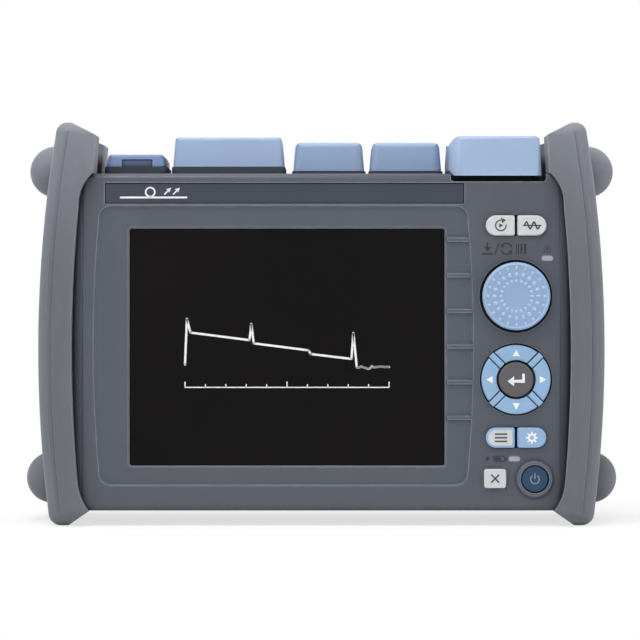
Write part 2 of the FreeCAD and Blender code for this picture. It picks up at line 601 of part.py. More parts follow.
def ferrule_sleeve(place):
    x, y = place
    return cut(rod_z(x, y, 1.6, *SLEEVE_Z), rod_z(x, y, 1.25, SLEEVE_Z[0] - 1, SLEEVE_Z[1] + 1))


def dc_jack():
    x, y = -73.6, 1.5
    body = box((x - 4.6, x + 4.6), (y - 5.2, y + 5.2), (WELL_FLOOR, 130.4))
    body = cut(body, rod_z(x, y, 2.8, 122.0, 131))
    return fuse(body, rod_z(x, y, 1.0, 121.5, 129.6))


def usb_socket(x, y, wide, thick, tongue, depth, top):
    """Metal shell with its contact tongue."""
    wall, half_w, half_t = 0.4, wide / 2, thick / 2
    block = box((x - half_w - wall, x + half_w + wall), (y - half_t - wall, y + half_t + wall),
                (WELL_FLOOR, top))
    block = cut(block, box((x - half_w, x + half_w), (y - half_t, y + half_t), (top - depth, top + 1)))
    slab = box((x - half_w + 0.6, x + half_w - 0.6), (y - tongue / 2 + 0.3, y + tongue / 2 + 0.3),
               (top - depth - 0.2, top - 0.9))
    return fuse(block, slab)


def lan_socket():
    x, y, top = -44.2, 1.7, 131.2
    body = box((x - 7.9, x + 7.9), (y - 6.8, y + 6.8), (WELL_FLOOR, top))
    mouth = box((x - 5.9, x + 5.9), (y - 4.1, y + 4.1), (WELL_FLOOR + 1.2, top + 1))
    latch = box((x - 3.0, x + 3.0), (y + 4, y + 5.7), (WELL_FLOOR + 1.2, top + 1))
    return cut(body, mouth, latch)


# ---- keys, knob and what is behind them ---------------------------------------------------------
FLANGE_Y = (-28.2, -27.2)
STEM_END = -24.8
KEY_EDGE = 0.4


def key_stem(x, z):
    return rod_y(x, z, 1.2, FLANGE_Y[1] - 0.2, STEM_END)


def finish_key(capsule, flange, stem, front=KEY_FRONT):
    capsule = bevelled(capsule, KEY_EDGE, lambda e: in_plane(e, "y", front))
    return fuse(capsule, flange, stem)


def pair_key(z, side):
    """One half of a pill-shaped pair: round outside, nearly square inside."""
    h = PAIR_H / 2
    inner, outer = KEYS_X + side * 0.5, KEYS_X + side * PAIR_W / 2
    x0, x1 = sorted((inner, outer))
    order = [h - 0.02, 0.8, 0.8, h - 0.02] if side < 0 else [0.8, h - 0.02, h - 0.02, 0.8]
    capsule = prism(corners(x0, x1, z - h, z + h), order, "XZ", KEY_FRONT, FLANGE_Y[0])
    order_out = [r + 0.6 if r > 1 else 0.2 for r in order]
    grown = (x0 - 0.6, x1) if side < 0 else (x0, x1 + 0.6)
    flange = prism(corners(grown[0], grown[1], z - h - 0.6, z + h + 0.6), order_out, "XZ", *FLANGE_Y)
    return finish_key(capsule, flange, key_stem((x0 + x1) / 2, z))


def esc_key():
    x, z = ESC_AT
    w, h = ESC_SIZE[0] / 2, ESC_SIZE[1] / 2
    capsule = plate_xz((x - w, x + w), (z - h, z + h), 1.0, KEY_FRONT, FLANGE_Y[0])
    flange = plate_xz((x - w - 0.7, x + w + 0.7), (z - h - 0.7, z + h + 0.7), 1.4, *FLANGE_Y)
    return finish_key(capsule, flange, key_stem(x, z))


def round_key(x, z, r, flange_r, front):
    capsule = rod_y(x, z, r, front, FLANGE_Y[0])
    flange = rod_y(x, z, flange_r, *FLANGE_Y)
    return finish_key(capsule, flange, key_stem(x, z), front)


KNOB_FACE = -34.0             # face of the knob inside its lip
STRIP_HALF = 1.1              # half width of the fixed strips between the arrow keys


def arrow_key(angle):
    """A quarter of the ring round the enter key; angle 90 is the upper one."""
    ring = cut(rod_y(KEYS_X, PAD_Z, PAD_R, KEY_FRONT, FLANGE_Y[1]),
               rod_y(KEYS_X, PAD_Z, PAD_BORE, KEY_FRONT - 1, FLANGE_Y[1] + 1))
    reach = 40.0
    edge = (STRIP_HALF + 0.38) * math.sqrt(2)
    wedge = prism([(KEYS_X + edge, PAD_Z), (KEYS_X + edge + reach, PAD_Z + reach),
                   (KEYS_X + edge + reach, PAD_Z - reach)], 0, "XZ", KEY_FRONT - 1, FLANGE_Y[1] + 1)
    wedge.rotate(Vector(KEYS_X, 0, PAD_Z), Vector(0, -1, 0), angle)
    quarter = ring.common(wedge)
    a = math.radians(angle)
    middle = (PAD_R + PAD_BORE) / 2
    stem = key_stem(KEYS_X + middle * math.cos(a), PAD_Z + middle * math.sin(a))
    quarter = bevelled(quarter, KEY_EDGE, lambda e: in_plane(e, "y", KEY_FRONT))
    return fuse(quarter, stem)


def pad_strips():
    """Fixed cross of four strips between the arrow keys, on a ring behind the face."""
    ring = cut(rod_y(KEYS_X, PAD_Z, 15.6, -28.4, -27.4), rod_y(KEYS_X, PAD_Z, 13.6, -29, -26))
    strips = []
    z = (PAD_Z - STRIP_HALF, PAD_Z + STRIP_HALF)
    for k in range(4):
        front = box((KEYS_X + PAD_BORE, KEYS_X + 13.1), (KEY_FRONT + 0.2, -27.4), z)
        back = box((KEYS_X + 12.5, KEYS_X + 14.6), (-28.4, -27.4), z)
        strip = fuse(front, back)
        strip.rotate(Vector(KEYS_X, 0, PAD_Z), Vector(0, 1, 0), 45 + 90 * k)
        strips.append(strip)
    return fuse(ring, *strips).common(envelope(-WALL - 0.1, CASE_FRONT, SPLIT).fuse(
        rod_y(KEYS_X, PAD_Z, 13.3, -40, -20)))


def rotary_knob():
    """Turned cap with a raised lip round its dished face, a ribbed skirt below and a socket for the shaft."""
    front, skirt, back = -34.4, -32.9, -27.5
    ribs = 32
    rim = []
    for k in range(2 * ribs):
        a = math.pi * k / ribs
        r = KNOB_R - (0.25 if k % 2 else 0.6)
        rim.append((KEYS_X + r * math.cos(a), KNOB_Z + r * math.sin(a)))
    barrel = prism(rim, 0, "XZ", skirt - 0.2, back)
    crown = bevelled(rod_y(KEYS_X, KNOB_Z, KNOB_R, front, skirt), 0.6, lambda e: in_plane(e, "y", front))
    face = Part.makeCone(KNOB_R - 0.9, KNOB_R - 1.2, 0.4, Vector(KEYS_X, front, KNOB_Z), Vector(0, 1, 0))
    dish = Part.makeSphere(60, Vector(KEYS_X, KNOB_FACE - 60 + 0.5, KNOB_Z))
    hollow = cut(rod_y(KEYS_X, KNOB_Z, KNOB_R - 2.0, front + 2.6, back + 1),
                 rod_y(KEYS_X, KNOB_Z, 4.8, front, back + 2))
    socket = rod_y(KEYS_X, KNOB_Z, 3.0, front + 2.4, back + 1)
    return cut(fuse(barrel, crown), face, dish, hollow, socket)


ENCODER_TOP = -24.9


def encoder_body():
    half = 6.2
    block = box((KEYS_X - half, KEYS_X + half), (ENCODER_TOP, -17.9), (KNOB_Z - half, KNOB_Z + half))
    bushing = rod_y(KEYS_X, KNOB_Z, 3.5, -26.4, ENCODER_TOP)
    bores = [rod_y(KEYS_X, KNOB_Z, 2.55, -30, -20.2), rod_y(KEYS_X, KNOB_Z, 2.1, -21, -18.6)]
    return cut(fuse(block, bushing), *bores)


def encoder_shaft():
    return fuse(rod_y(KEYS_X, KNOB_Z, 2.95, -31.9, -27.6), rod_y(KEYS_X, KNOB_Z, 2.5, -28, -21.2))


def push_plunger():
    return rod_y(KEYS_X, KNOB_Z, 2.0, -21.1, -19.5)


def stem_places():
    """Where the key stems meet the key board."""
    middle = (PAD_R + PAD_BORE) / 2
    places = [(KEYS_X + middle, PAD_Z), (KEYS_X - middle, PAD_Z), (KEYS_X, PAD_Z + middle),
              (KEYS_X, PAD_Z - middle), (KEYS_X, PAD_Z), ESC_AT, POWER_AT]
    half = (0.5 + PAIR_W / 2) / 2
    for z in PAIR_Z.values():
        places += [(KEYS_X - half, z), (KEYS_X + half, z)]
    return places


def key_board():
    board = box((57.5, 92.0), (-22.4, -20.8), (9.5, 118.5))
    tools = [box((x - 4.2, 95), (-30, -10), (z - 4.2, z + 4.2)) for x, z in SCREWS if x > 0]
    tools.append(box((KEYS_X - 6.5, KEYS_X + 6.5), (-23, -20), (KNOB_Z - 6.5, KNOB_Z + 6.5)))
    switches = [box((x - 2.2, x + 2.2), (-23.5, -22.3), (z - 2.2, z + 2.2)) for x, z in stem_places()]
    lamps = [box((c[0] - 0.8, c[0] + 0.8), (-23.4, -22.3), (c[1] - 0.5, c[1] + 0.5))
             for c in (LASER_LAMP, CHARGE_LAMP)]
    return fuse(cut(board, *tools), *switches, *lamps)


def keypad_mat():
    mat = plate_xz((58.5, 90.6), (10.0, 118.0), 3.0, -25.9, -25.2)
    tools = [box((x - 4.2, 95), (-30, -10), (z - 4.2, z + 4.2)) for x, z in SCREWS if x > 0]
    tools.append(rod_y(KEYS_X, KNOB_Z, 15.4, -30, -10))
    tools += [box((x - 1.7, x + 1.7), (-30, -20), (z - 1.7, z + 1.7)) for x, z in stem_places()]
    tools += [box((x - 2.6, x + 2.6), (-30, -20), (z - 1.5, z + 1.5)) for x, z in (LASER_LAMP, CHARGE_LAMP)]
    return cut(mat, *tools)


# ---- display and electronics --------------------------------------------------------------------
def display_window():
    return plate_xz((WINDOW_X[0] - 1.6, WINDOW_X[1] + 1.6), (WINDOW_Z[0] - 1.6, WINDOW_Z[1] + 1.6), 1.3,
                    GLASS_FRONT, -28.35)


def display_gasket():
    outer = plate_xz((WINDOW_X[0] - 1.6, WINDOW_X[1] + 1.6), (WINDOW_Z[0] - 1.6, WINDOW_Z[1] + 1.6), 1.3,
                     -28.3, -27.2)
    inner = box((WINDOW_X[0] + 0.8, WINDOW_X[1] - 0.8), (-29, -27), (WINDOW_Z[0] + 0.8, WINDOW_Z[1] - 0.8))
    return cut(outer, inner)


def display_module():
    xc, zc = sum(WINDOW_X) / 2, sum(WINDOW_Z) / 2
    frame = box((xc - 65.5, xc + 65.5), (-27.15, -19.4), (zc - 51, zc + 51))
    glass_seat = box((xc - 58.2, xc + 58.2), (-28, -26.7), (zc - 43.8, zc + 43.8))
    panel = box((xc - 57.6, xc + 57.6), (-26.95, -26.6), (zc - 43.2, zc + 43.2))
    return fuse(cut(frame, glass_seat), panel)


def chassis_plate():
    """Sheet-metal plate between the display and the main board, with folded lips."""
    plate = box((-84.0, 56.0), (-18.8, -17.6), (12.0, 118.0))
    lips = [box((-84.0, -82.8), (-18.8, -14.2), (20.0, 110.0)),
            box((-60.0, 40.0), (-18.8, -14.2), (12.0, 13.2))]
    windows = [plate_xz((x, x + 26), (40, 92), 3.0, -20, -16) for x in (-70.0, -34.0, 2.0)]
    return cut(fuse(plate, *lips), *windows)


def main_board():
    board = box((-84.0, 84.0), (-13.4, -11.8), (10.0, 112.0))
    chips = [box((x, x + w), (-11.9, -9.8), (z, z + w)) for x, z, w in
             ((-60.0, 60.0, 22.0), (-62.0, 92.0, 12.0), (-40.0, 92.0, 10.0), (-70.0, 30.0, 14.0),
              (60.0, 24.0, 16.0))]
    links = [box((-80.0, -50.0), (-11.9, -8.0), (12.0, 16.5)), box((20.0, 44.0), (-11.9, -8.0), (12.0, 16.5))]
    return fuse(board, *chips, *links)


def otdr_module():
    """Sealed optical engine: a lidded aluminium box with its fibre outlets on top."""
    base = plate_xz((-15.0, 76.0), (52.0, 110.0), 2.0, -9.6, 4.6)
    lid = plate_xz((-13.5, 74.5), (53.5, 108.5), 1.5, 4.5, 6.4)
    outlets = [rod_z(x, y, 2.2, 109.5, 113.0) for x, y in ADAPTERS.values()]
    return fuse(base, lid, *outlets)


def battery_pack():
    pack = prism(corners(BAY_X[0] + 1, BAY_X[1] - 1, BAY_FLOOR + 0.4, 28.2), 3.0, "XY",
                 BAY_Z[0] + 1, BAY_Z[1] - 1)
    groove = box((-30, 30), (27.4, 30), (50.0, 52.5))
    return cut(pack, groove)


def battery_cover():
    plate = plate_xz(COVER_X, COVER_Z, 2.0, COVER_INNER, CASE_BACK)
    plate = bevelled(plate, 0.5, lambda e: in_plane(e, "y", CASE_BACK))
    tools = []
    for x, z in COVER_SCREWS:
        tools += [rod_y(x, z, 1.5, 25, 35), rod_y(x, z, 2.9, 29.6, 35)]
    grips = [box((-18, 18), (30.4, 35), (z - 0.7, z + 0.7)) for z in (26.0, 29.0, 32.0, 35.0)]
    return cut(plate, *tools, *grips)


def screw(x, z, head_y, head_r, head_h, shank_r, tip_y):
    head = rod_y(x, z, head_r, head_y, head_y + head_h)
    cross = [box((x - 1.5, x + 1.5), (head_y + head_h - 1.0, head_y + head_h + 1), (z - 0.35, z + 0.35)),
             box((x - 0.35, x + 0.35), (head_y + head_h - 1.0, head_y + head_h + 1), (z - 1.5, z + 1.5))]
    return fuse(cut(head, *cross), rod_y(x, z, shank_r, tip_y, head_y))


def stand():
    """Folding U-shaped stand: two legs on pivots, joined by a foot bar."""
    x0, x1 = STAND_LEG_X
    y, z = STAND_HINGE
    legs = []
    for a, b in ((x0, x1), (-x1, -x0)):
        legs.append(box((a, b), (26.5, 30.8), (STAND_FOOT_Z[0], z)))
        legs.append(rod_x(y, z, 3.8, a, b))
    foot = box((-x1, x1), (26.5, 30.8), STAND_FOOT_Z)
    body = fuse(foot, *legs)
    body = soften(body, 3.0, lambda e: along(e, "y") and e.BoundBox.ZMax < STAND_FOOT_Z[0] + 0.1)
    body = soften(body, 2.5, lambda e: along(e, "y") and abs(e.BoundBox.ZMax - STAND_FOOT_Z[1]) < 0.1)
    holes = [rod_x(y, z, 1.56, x0 - 1, x1 + 1), rod_x(y, z, 1.56, -x1 - 1, -x0 + 1)]
    pads = [plate_xz((x - 9, x + 9), (9.6, 15.0), 1.5, 30.2, 32) for x in (-36.0, 36.0)]
    return cut(body, *holes, *pads)


def stand_pads():
    return [plate_xz((x - 8.9, x + 8.9), (9.7, 14.9), 1.4, 30.25, 31.0) for x in (-36.0, 36.0)]


def stand_pivots():
    x0, x1 = STAND_LEG_X
    return [rod_x(*STAND_HINGE, 1.5, a, b) for a, b in ((x0 - 2.1, x1 + 2.1), (-x1 - 2.1, -x0 + 2.1))]


def speaker():
    x, z = SPEAKER_AT
    return fuse(rod_y(x, z, 12.0, 24.6, 28.0), rod_y(x, z, 8.0, 20.5, 24.6))


# ---- build --------------------------------------------------------------------------------------
def main():
    save("front_case", front_case())
    save("rear_case", rear_case())
    guard = right_guard()
    save("right_guard", guard)
    save("left_guard", mirrored(guard))
    save("strap_pins", *[rod_y(side * STRAP_AT[0], STRAP_AT[1], 1.5, -18.0, 12.0) for side in (-1, 1)])
    save("nameplate", plate_xz((-80.25, 52.85), (120.05, 127.15), 0.3, CASE_FRONT + 0.35, CASE_FRONT + 0.8))
    save("indicator_lenses", *[lamp(c, 0.0, CASE_FRONT - 0.15, -28.2) for c in (LASER_LAMP, CHARGE_LAMP)])

    save("port_panel", port_panel())
    save("power_inlet_base", port_base(COVERS["power_inlet"]))
    save("data_port_base", port_base(COVERS["data_port"]))
    for key, place in (("light_source", "light"), ("power_meter", "meter")):
        save(key + "_base", cut(port_base(COVERS[key]), rod_z(*ADAPTERS[place], 4.1, 115, 125)))
    save("main_port_base", main_port_base())
    save("power_inlet_cover", power_inlet_cover())
    for key in ("data_port", "light_source", "power_meter"):
        body, tools = hinged_cover(COVERS[key])
        save(key + "_cover", cut(body, *tools))
    save("main_port_cover", large_cover())
    save("cover_hinge_pins", *hinge_pins())

    save("main_port_adapter", fibre_adapter(ADAPTERS["otdr"]))
    save("light_source_adapter", fibre_adapter(ADAPTERS["light"]))
    save("power_meter_adapter", fibre_adapter(ADAPTERS["meter"]))
    save("ferrule_sleeves", *[ferrule_sleeve(p) for p in ADAPTERS.values()])
    save("dc_jack", dc_jack())
    save("usb_host_sockets", *[usb_socket(-26.4, y, 12.5, 5.1, 1.9, 8.8, 130.6) for y in (-3.2, 6.0)])
    save("usb_device_socket", usb_socket(-64.6, 1.5, 3.1, 6.9, 4.6, 6.5, 129.0))
    save("lan_socket", lan_socket())

    save("real_time_key", pair_key(PAIR_Z["upper"], -1))
    save("average_key", pair_key(PAIR_Z["upper"], 1))
    save("menu_key", pair_key(PAIR_Z["lower"], -1))
    save("setup_key", pair_key(PAIR_Z["lower"], 1))
    save("escape_key", esc_key())
    save("power_key", round_key(*POWER_AT, POWER_R, POWER_R + 0.8, -31.7))
    save("enter_key", round_key(KEYS_X, PAD_Z, ENTER_R, ENTER_R + 0.2, KEY_FRONT - 0.2))
    for name, angle in (("right", 0), ("up", 90), ("left", 180), ("down", 270)):
        save(f"arrow_{name}_key", arrow_key(angle))
    save("pad_strips", pad_strips())
    save("rotary_knob", rotary_knob())
    save("encoder_shaft", encoder_shaft())
    save("push_plunger", push_plunger())
    save("encoder_body", encoder_body())
    save("key_board", key_board())
    save("keypad_mat", keypad_mat())

    save("display_window", display_window())
    save("display_gasket", display_gasket())
    save("display_module", display_module())
    save("chassis_plate", chassis_plate())
    save("main_board", main_board())
    save("otdr_module", otdr_module())
    save("battery_pack", battery_pack())
    save("battery_cover", battery_cover())
    save("battery_cover_screws", *[screw(x, z, 29.6, 2.7, 1.3, 1.2, 22.0) for x, z in COVER_SCREWS])
    save("case_screws", *[screw(x, z, 9.6, 2.75, 2.4, 1.45, -23.0) for x, z in SCREWS])
    save("stand", stand())
    save("stand_pads", *stand_pads())
    save("stand_pivots", *stand_pivots())
    save("speaker", speaker())


main()
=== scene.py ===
"""Finishes and small details of a handheld fibre tester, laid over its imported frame.

The frame holds every moulded, turned and folded part. This file gives each one its material, softens its
edges, and adds what is printed, threaded or too fine for the frame: the icons on the keys, the face and the
nameplate, the display's trace, the knob's grip dots and the adapters' threads. Lengths are in metres in the
frame's own axes: +X right, +Y away from the user, +Z up.
"""
import math

import bmesh
import bpy
from bpy.props import FloatProperty, FloatVectorProperty, IntProperty, PointerProperty
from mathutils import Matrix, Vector


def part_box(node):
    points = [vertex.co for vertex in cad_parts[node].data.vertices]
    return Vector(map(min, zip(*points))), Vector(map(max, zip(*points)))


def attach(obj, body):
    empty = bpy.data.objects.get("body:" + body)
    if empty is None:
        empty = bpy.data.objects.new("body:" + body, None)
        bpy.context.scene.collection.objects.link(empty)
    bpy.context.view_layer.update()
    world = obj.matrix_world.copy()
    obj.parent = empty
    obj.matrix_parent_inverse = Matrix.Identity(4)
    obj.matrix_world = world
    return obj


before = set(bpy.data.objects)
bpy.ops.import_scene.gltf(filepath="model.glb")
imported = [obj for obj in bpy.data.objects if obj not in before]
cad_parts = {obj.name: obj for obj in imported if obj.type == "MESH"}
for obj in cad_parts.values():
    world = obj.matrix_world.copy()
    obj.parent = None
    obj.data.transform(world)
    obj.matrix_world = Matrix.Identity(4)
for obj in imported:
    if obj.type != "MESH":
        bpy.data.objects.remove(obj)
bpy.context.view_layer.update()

bl_info = {
    "name": "Fibre tester",
    "version": (1, 0, 0),
    "blender": (4, 5, 0),
    "location": "View3D > Sidebar > Fibre tester",
    "description": "Finishes, prints and studio for a handheld optical time domain reflectometer",
    "category": "Object",
}

MM = 0.001
CASE = "case"

# Depth in millimetres to which a print reaches into the face under it.
KEY_SEAT, FACE_SEAT = 0.02, 0.03

# Distance within which neighbouring walls count, and the openness between which each mask runs; the masks
# lay a painted highlight on edges, painted shade in grooves and wider painted shade beside taller neighbours.
RIDGE_REACH, RIDGE_OPEN = 0.7 * MM, (0.8, 0.97)
GROOVE_REACH, GROOVE_OPEN = 1.4 * MM, (0.35, 0.95)
NEIGHBOUR_SHADE_REACH, NEIGHBOUR_SHADE_OPEN = 9.0 * MM, (0.5, 0.97)

# Side guards: heights over which painted light turns them paler; for the painted shade on the back wall of
# the strap slot, the heights where it turns dark and light again, and the depths just in front of it.
TOP_LIGHT_FADE = (0.085, 0.15)
SLOT_DARK, SLOT_LIGHT, SLOT_WALL = (0.12, 0.126), (0.136, 0.1405), (0.004, 0.007)

# Soft lights: name, place, width of the square lamp and its power in watts.
LIGHTS = (
    ("key_light", (-0.4, -0.75, 1.05), 0.8, 4.9),
    ("front_light", (-0.2, -1.3, 0.8), 0.6, 2.6),
    ("fill_light", (0.9, -0.8, 0.5), 0.9, 1.0),
    ("top_light", (-0.12, -0.14, 0.95), 0.6, 6.0),
    ("rear_light", (0.5, 1.3, 0.8), 0.9, 4.5),
    ("left_light", (-1.15, -0.08, 0.35), 0.7, 1.3),
    ("right_light", (1.15, -0.08, 0.35), 0.7, 3.2),
)
LAMP_TARGET = Vector((0, 0, 0.08))

# Face of the case as the camera sees it: middle of the view in X and Z, depth of the face, in millimetres.
VIEW_MIDDLE, FACE_DEPTH = (3.2, 83.9), -31.5
SENSOR = 36.0


# ---- user settings ------------------------------------------------------------------------------
def colour_prop(name, description, red, green, blue):
    """A colour setting whose default is given as display values from 0 to 255."""
    return FloatVectorProperty(name=name, description=description, subtype="COLOR", size=3, min=0.0, max=1.0,
                               default=rgb(red, green, blue))


def linear(value):
    """Display value to scene value."""
    return value / 12.92 if value <= 0.04045 else ((value + 0.055) / 1.055) ** 2.4


def rgb(red, green, blue):
    """Scene colour from display values from 0 to 255."""
    return [linear(v / 255) for v in (red, green, blue)]


class TesterColours(bpy.types.PropertyGroup):
    """Colours of the moulded pieces and of the prints"""
    case: colour_prop("Case", "Moulded shells of the case", 85, 89, 98)
    guard: colour_prop("Guards", "Soft side guards", 101, 104, 111)
    base: colour_prop("Bases", "Port bases and their panel", 62, 66, 75)
    plate: colour_prop("Nameplate", "Smooth plate above the display", 62, 66, 78)
    blue: colour_prop("Blue covers", "Wide cover and large cover", 155, 176, 206)
    # Darker copy of the cover blue: painted shade on the two middle covers.
    blue_small_shaded: colour_prop("Small covers", "The two equal covers in the middle", 144, 165, 196)
    # Darker copy of the cover blue: painted shade on the low inlet cover.
    blue_inlet_shaded: colour_prop("Inlet cover", "Low cover over the power inlet", 120, 139, 178)
    knob: colour_prop("Knob", "Rotary knob", 142, 166, 199)
    # Lighter copy of the knob's blue: a painted highlight on the grip dots.
    knob_tip_highlight: colour_prop("Knob tips", "Grip dots on the knob", 172, 194, 223)
    key_blue: colour_prop("Blue keys", "Arrow pad, menu key and setup key", 143, 175, 209)
    key_white: colour_prop("White keys", "Measurement and escape keys, panel on the menu key", 200, 203, 205)
    key_dark: colour_prop("Enter key", "Key in the middle of the pad", 92, 91, 93)
    key_power: colour_prop("Power key", "Round power key", 45, 69, 93)
    ink_dark: colour_prop("Dark ink", "Icons on the white keys", 62, 62, 66)
    ink_case: colour_prop("Case ink", "Icons on the case", 34, 36, 42)
    ink_white: colour_prop("White ink", "Icons on the blue and dark keys", 232, 235, 238)
    ink_power: colour_prop("Power ink", "Icon on the power key", 112, 138, 154)
    glass: colour_prop("Display", "Dark display behind its window", 18, 16, 16)


class TesterSizes(bpy.types.PropertyGroup):
    """Sizes of the added details and of the view"""
    edge: FloatProperty(name="Edge break", description="Width of the softened edges of moulded pieces",
                        default=0.22 * MM, min=0.05 * MM, max=0.6 * MM, unit="LENGTH")
    ink: FloatProperty(name="Ink thickness", description="Height of the printed icons", default=0.04 * MM,
                       min=0.01 * MM, max=0.2 * MM, unit="LENGTH")
    grip_dot: FloatProperty(name="Grip dot", description="Radius of one dot on the knob", default=0.56 * MM,
                            min=0.2 * MM, max=0.8 * MM, unit="LENGTH")
    dots_per_ring: IntProperty(name="Dots in a ring", description="Dots in each ring on the knob", default=20,
                               min=8, max=40)
    view_distance: FloatProperty(name="View distance", description="Camera to the face of the case",
                                 default=1.05, min=0.3, max=3.0, unit="LENGTH")
    view_width: FloatProperty(name="View width", description="Width of the view at the face of the case",
                              default=0.238, min=0.1, max=1.0, unit="LENGTH")


# ---- materials ----------------------------------------------------------------------------------
class Nodes:
    """Short-hand for a material's node tree."""

    def __init__(self, name):
        self.material = bpy.data.materials.new(name)
        self.material.use_nodes = True
        self.tree = self.material.node_tree
        self.shader = self.tree.nodes["Principled BSDF"]
        self.place = self.add("ShaderNodeTexCoord").outputs["Object"]

    def add(self, kind, **settings):
        """New node; each setting is a property of it or, with spaces for underscores, one of its inputs."""
        node = self.tree.nodes.new(kind)
        for key, value in settings.items():
            if hasattr(node, key):
                setattr(node, key, value)
            else:
                node.inputs[key.replace("_", " ")].default_value = value
        return node

    def link(self, output, target):
        self.tree.links.new(output, target)

    def noise(self, scale, detail=2.0, rough=0.5, stretch=None):
        """Cloudy value about 0.5, in the piece's own space."""
        source = self.place
        if stretch:
            mapping = self.add("ShaderNodeMapping")
            mapping.inputs["Scale"].default_value = stretch
            self.link(self.place, mapping.inputs["Vector"])
            source = mapping.outputs["Vector"]
        node = self.add("ShaderNodeTexNoise", Scale=scale, Detail=detail, Roughness=rough)
        self.link(source, node.inputs["Vector"])
        return node.outputs["Fac"]

    def spread(self, value, low, high, to_low, to_high):
        """The value, taken from one range to another and held at its ends."""
        node = self.add("ShaderNodeMapRange", From_Min=low, From_Max=high, To_Min=to_low, To_Max=to_high)
        self.link(value, node.inputs["Value"])
        return node.outputs["Result"]

    def blend(self, factor, first, second):
        """Mix of two colours, given as values or as sockets."""
        node = self.add("ShaderNodeMix", data_type="RGBA")
        sockets = [s for s in node.inputs if s.type == "RGBA"]
        for socket, colour in zip(sockets, (first, second)):
            if isinstance(colour, bpy.types.NodeSocket):
                self.link(colour, socket)
            else:
                socket.default_value = (*colour, 1.0)
        self.link(factor, node.inputs["Factor"])
        return [s for s in node.outputs if s.type == "RGBA"][0]

    def bump(self, height, strength, distance, previous=None):
        """Normal of a fine relief, laid over a previous one if there is any."""
        node = self.add("ShaderNodeBump", Strength=strength, Distance=distance)
        self.link(height, node.inputs["Height"])
        if previous:
            self.link(previous, node.inputs["Normal"])
        return node.outputs["Normal"]

    def edge_mask(self, radius):
        """1 on rounded-off edges and corners, 0 on open faces."""
        bevel = self.add("ShaderNodeBevel", samples=4, Radius=radius)
        plain = self.add("ShaderNodeNewGeometry")
        dot = self.add("ShaderNodeVectorMath", operation="DOT_PRODUCT")
        self.link(bevel.outputs["Normal"], dot.inputs[0])
        self.link(plain.outputs["Normal"], dot.inputs[1])
        return self.spread(dot.outputs["Value"], 0.995, 0.9, 0.0, 1.0)

    def openness(self, distance, alone=True):
        """1 on open faces, less in grooves; unless the piece is taken alone, less beside its neighbours."""
        node = self.add("ShaderNodeAmbientOcclusion", samples=6, only_local=alone, Distance=distance)
        return node.outputs["AO"]

    def axes(self, vector):
        """The vector's parts, by axis."""
        node = self.add("ShaderNodeSeparateXYZ")
        self.link(vector, node.inputs[0])
        return node.outputs

    def times(self, first, second):
        """Product of two values."""
        node = self.add("ShaderNodeMath", operation="MULTIPLY")
        self.link(first, node.inputs[0])
        self.link(second, node.inputs[1])
        return node.outputs[0]


def shade(colour, factor):
    """The colour, made darker or lighter."""
    return [min(1.0, c * factor) for c in colour]


def moulded(name, colour, roughness=0.5, grain=0.35, mottle=0.05, wear_and_highlight=0.25, edge=0.5 * MM, coat=0.0,
            crevice_shade=0.0, gleam=1.5, groove=GROOVE_REACH, neighbour_shade=0.0):
    """Moulded plastic: spark-eroded grain, flow mottling, rubbed edges with a painted highlight, painted
    shade in grooves.

    Rubbed edges, with a painted highlight on them, are as wide as edge and lighter by the factor gleam.
    Painted shade darkens the grooves where walls stand nearer than groove. The veil is wider painted shade
    that darkens the strips beside taller neighbours.
    """
    n = Nodes(name)
    flow = n.noise(38.0, 3.0)
    fine = n.noise(420.0, 2.0)
    body = n.blend(n.spread(flow, 0.3, 0.7, 0.0, 1.0), shade(colour, 1 - mottle), shade(colour, 1 + mottle))
    body = n.blend(n.spread(fine, 0.35, 0.65, 0.0, 0.25), body, shade(colour, 1 - 2 * mottle))
    # Edges rubbed by handling, lightened further as a painted highlight.
    if wear_and_highlight:
        patchy = n.spread(n.noise(160.0, 4.0), 0.35, 0.7, 0.6 * wear_and_highlight, wear_and_highlight)
        ridge = n.spread(n.openness(RIDGE_REACH), *RIDGE_OPEN, 0.0, 1.0)
        worn_and_lit = n.times(n.times(n.edge_mask(edge), patchy), ridge)
        body = n.blend(worn_and_lit, body, [min(1.0, c * gleam + 0.02) for c in colour])
    # Painted shade: darker in grooves and where neighbouring pieces stand close.
    if crevice_shade:
        crevice_shade_mask = n.spread(n.openness(groove, alone=False), *GROOVE_OPEN, crevice_shade, 0.0)
        body = n.blend(crevice_shade_mask, body, shade(colour, 0.25))
    # Painted shade, wider and softer, beside taller neighbours.
    if neighbour_shade:
        neighbour_shade_mask = n.spread(n.openness(NEIGHBOUR_SHADE_REACH, alone=False), *NEIGHBOUR_SHADE_OPEN, neighbour_shade, 0.0)
        body = n.blend(neighbour_shade_mask, body, shade(colour, 0.4))
    n.link(body, n.shader.inputs["Base Color"])
    n.link(n.spread(flow, 0.25, 0.75, roughness - 0.06, roughness + 0.06), n.shader.inputs["Roughness"])
    n.shader.inputs["Specular IOR Level"].default_value = 0.22
    n.shader.inputs["Coat Weight"].default_value = coat
    n.shader.inputs["Coat Roughness"].default_value = 0.25
    n.link(n.bump(n.noise(2600.0, 3.0, 0.6), grain, 0.06 * MM), n.shader.inputs["Normal"])
    return n.material


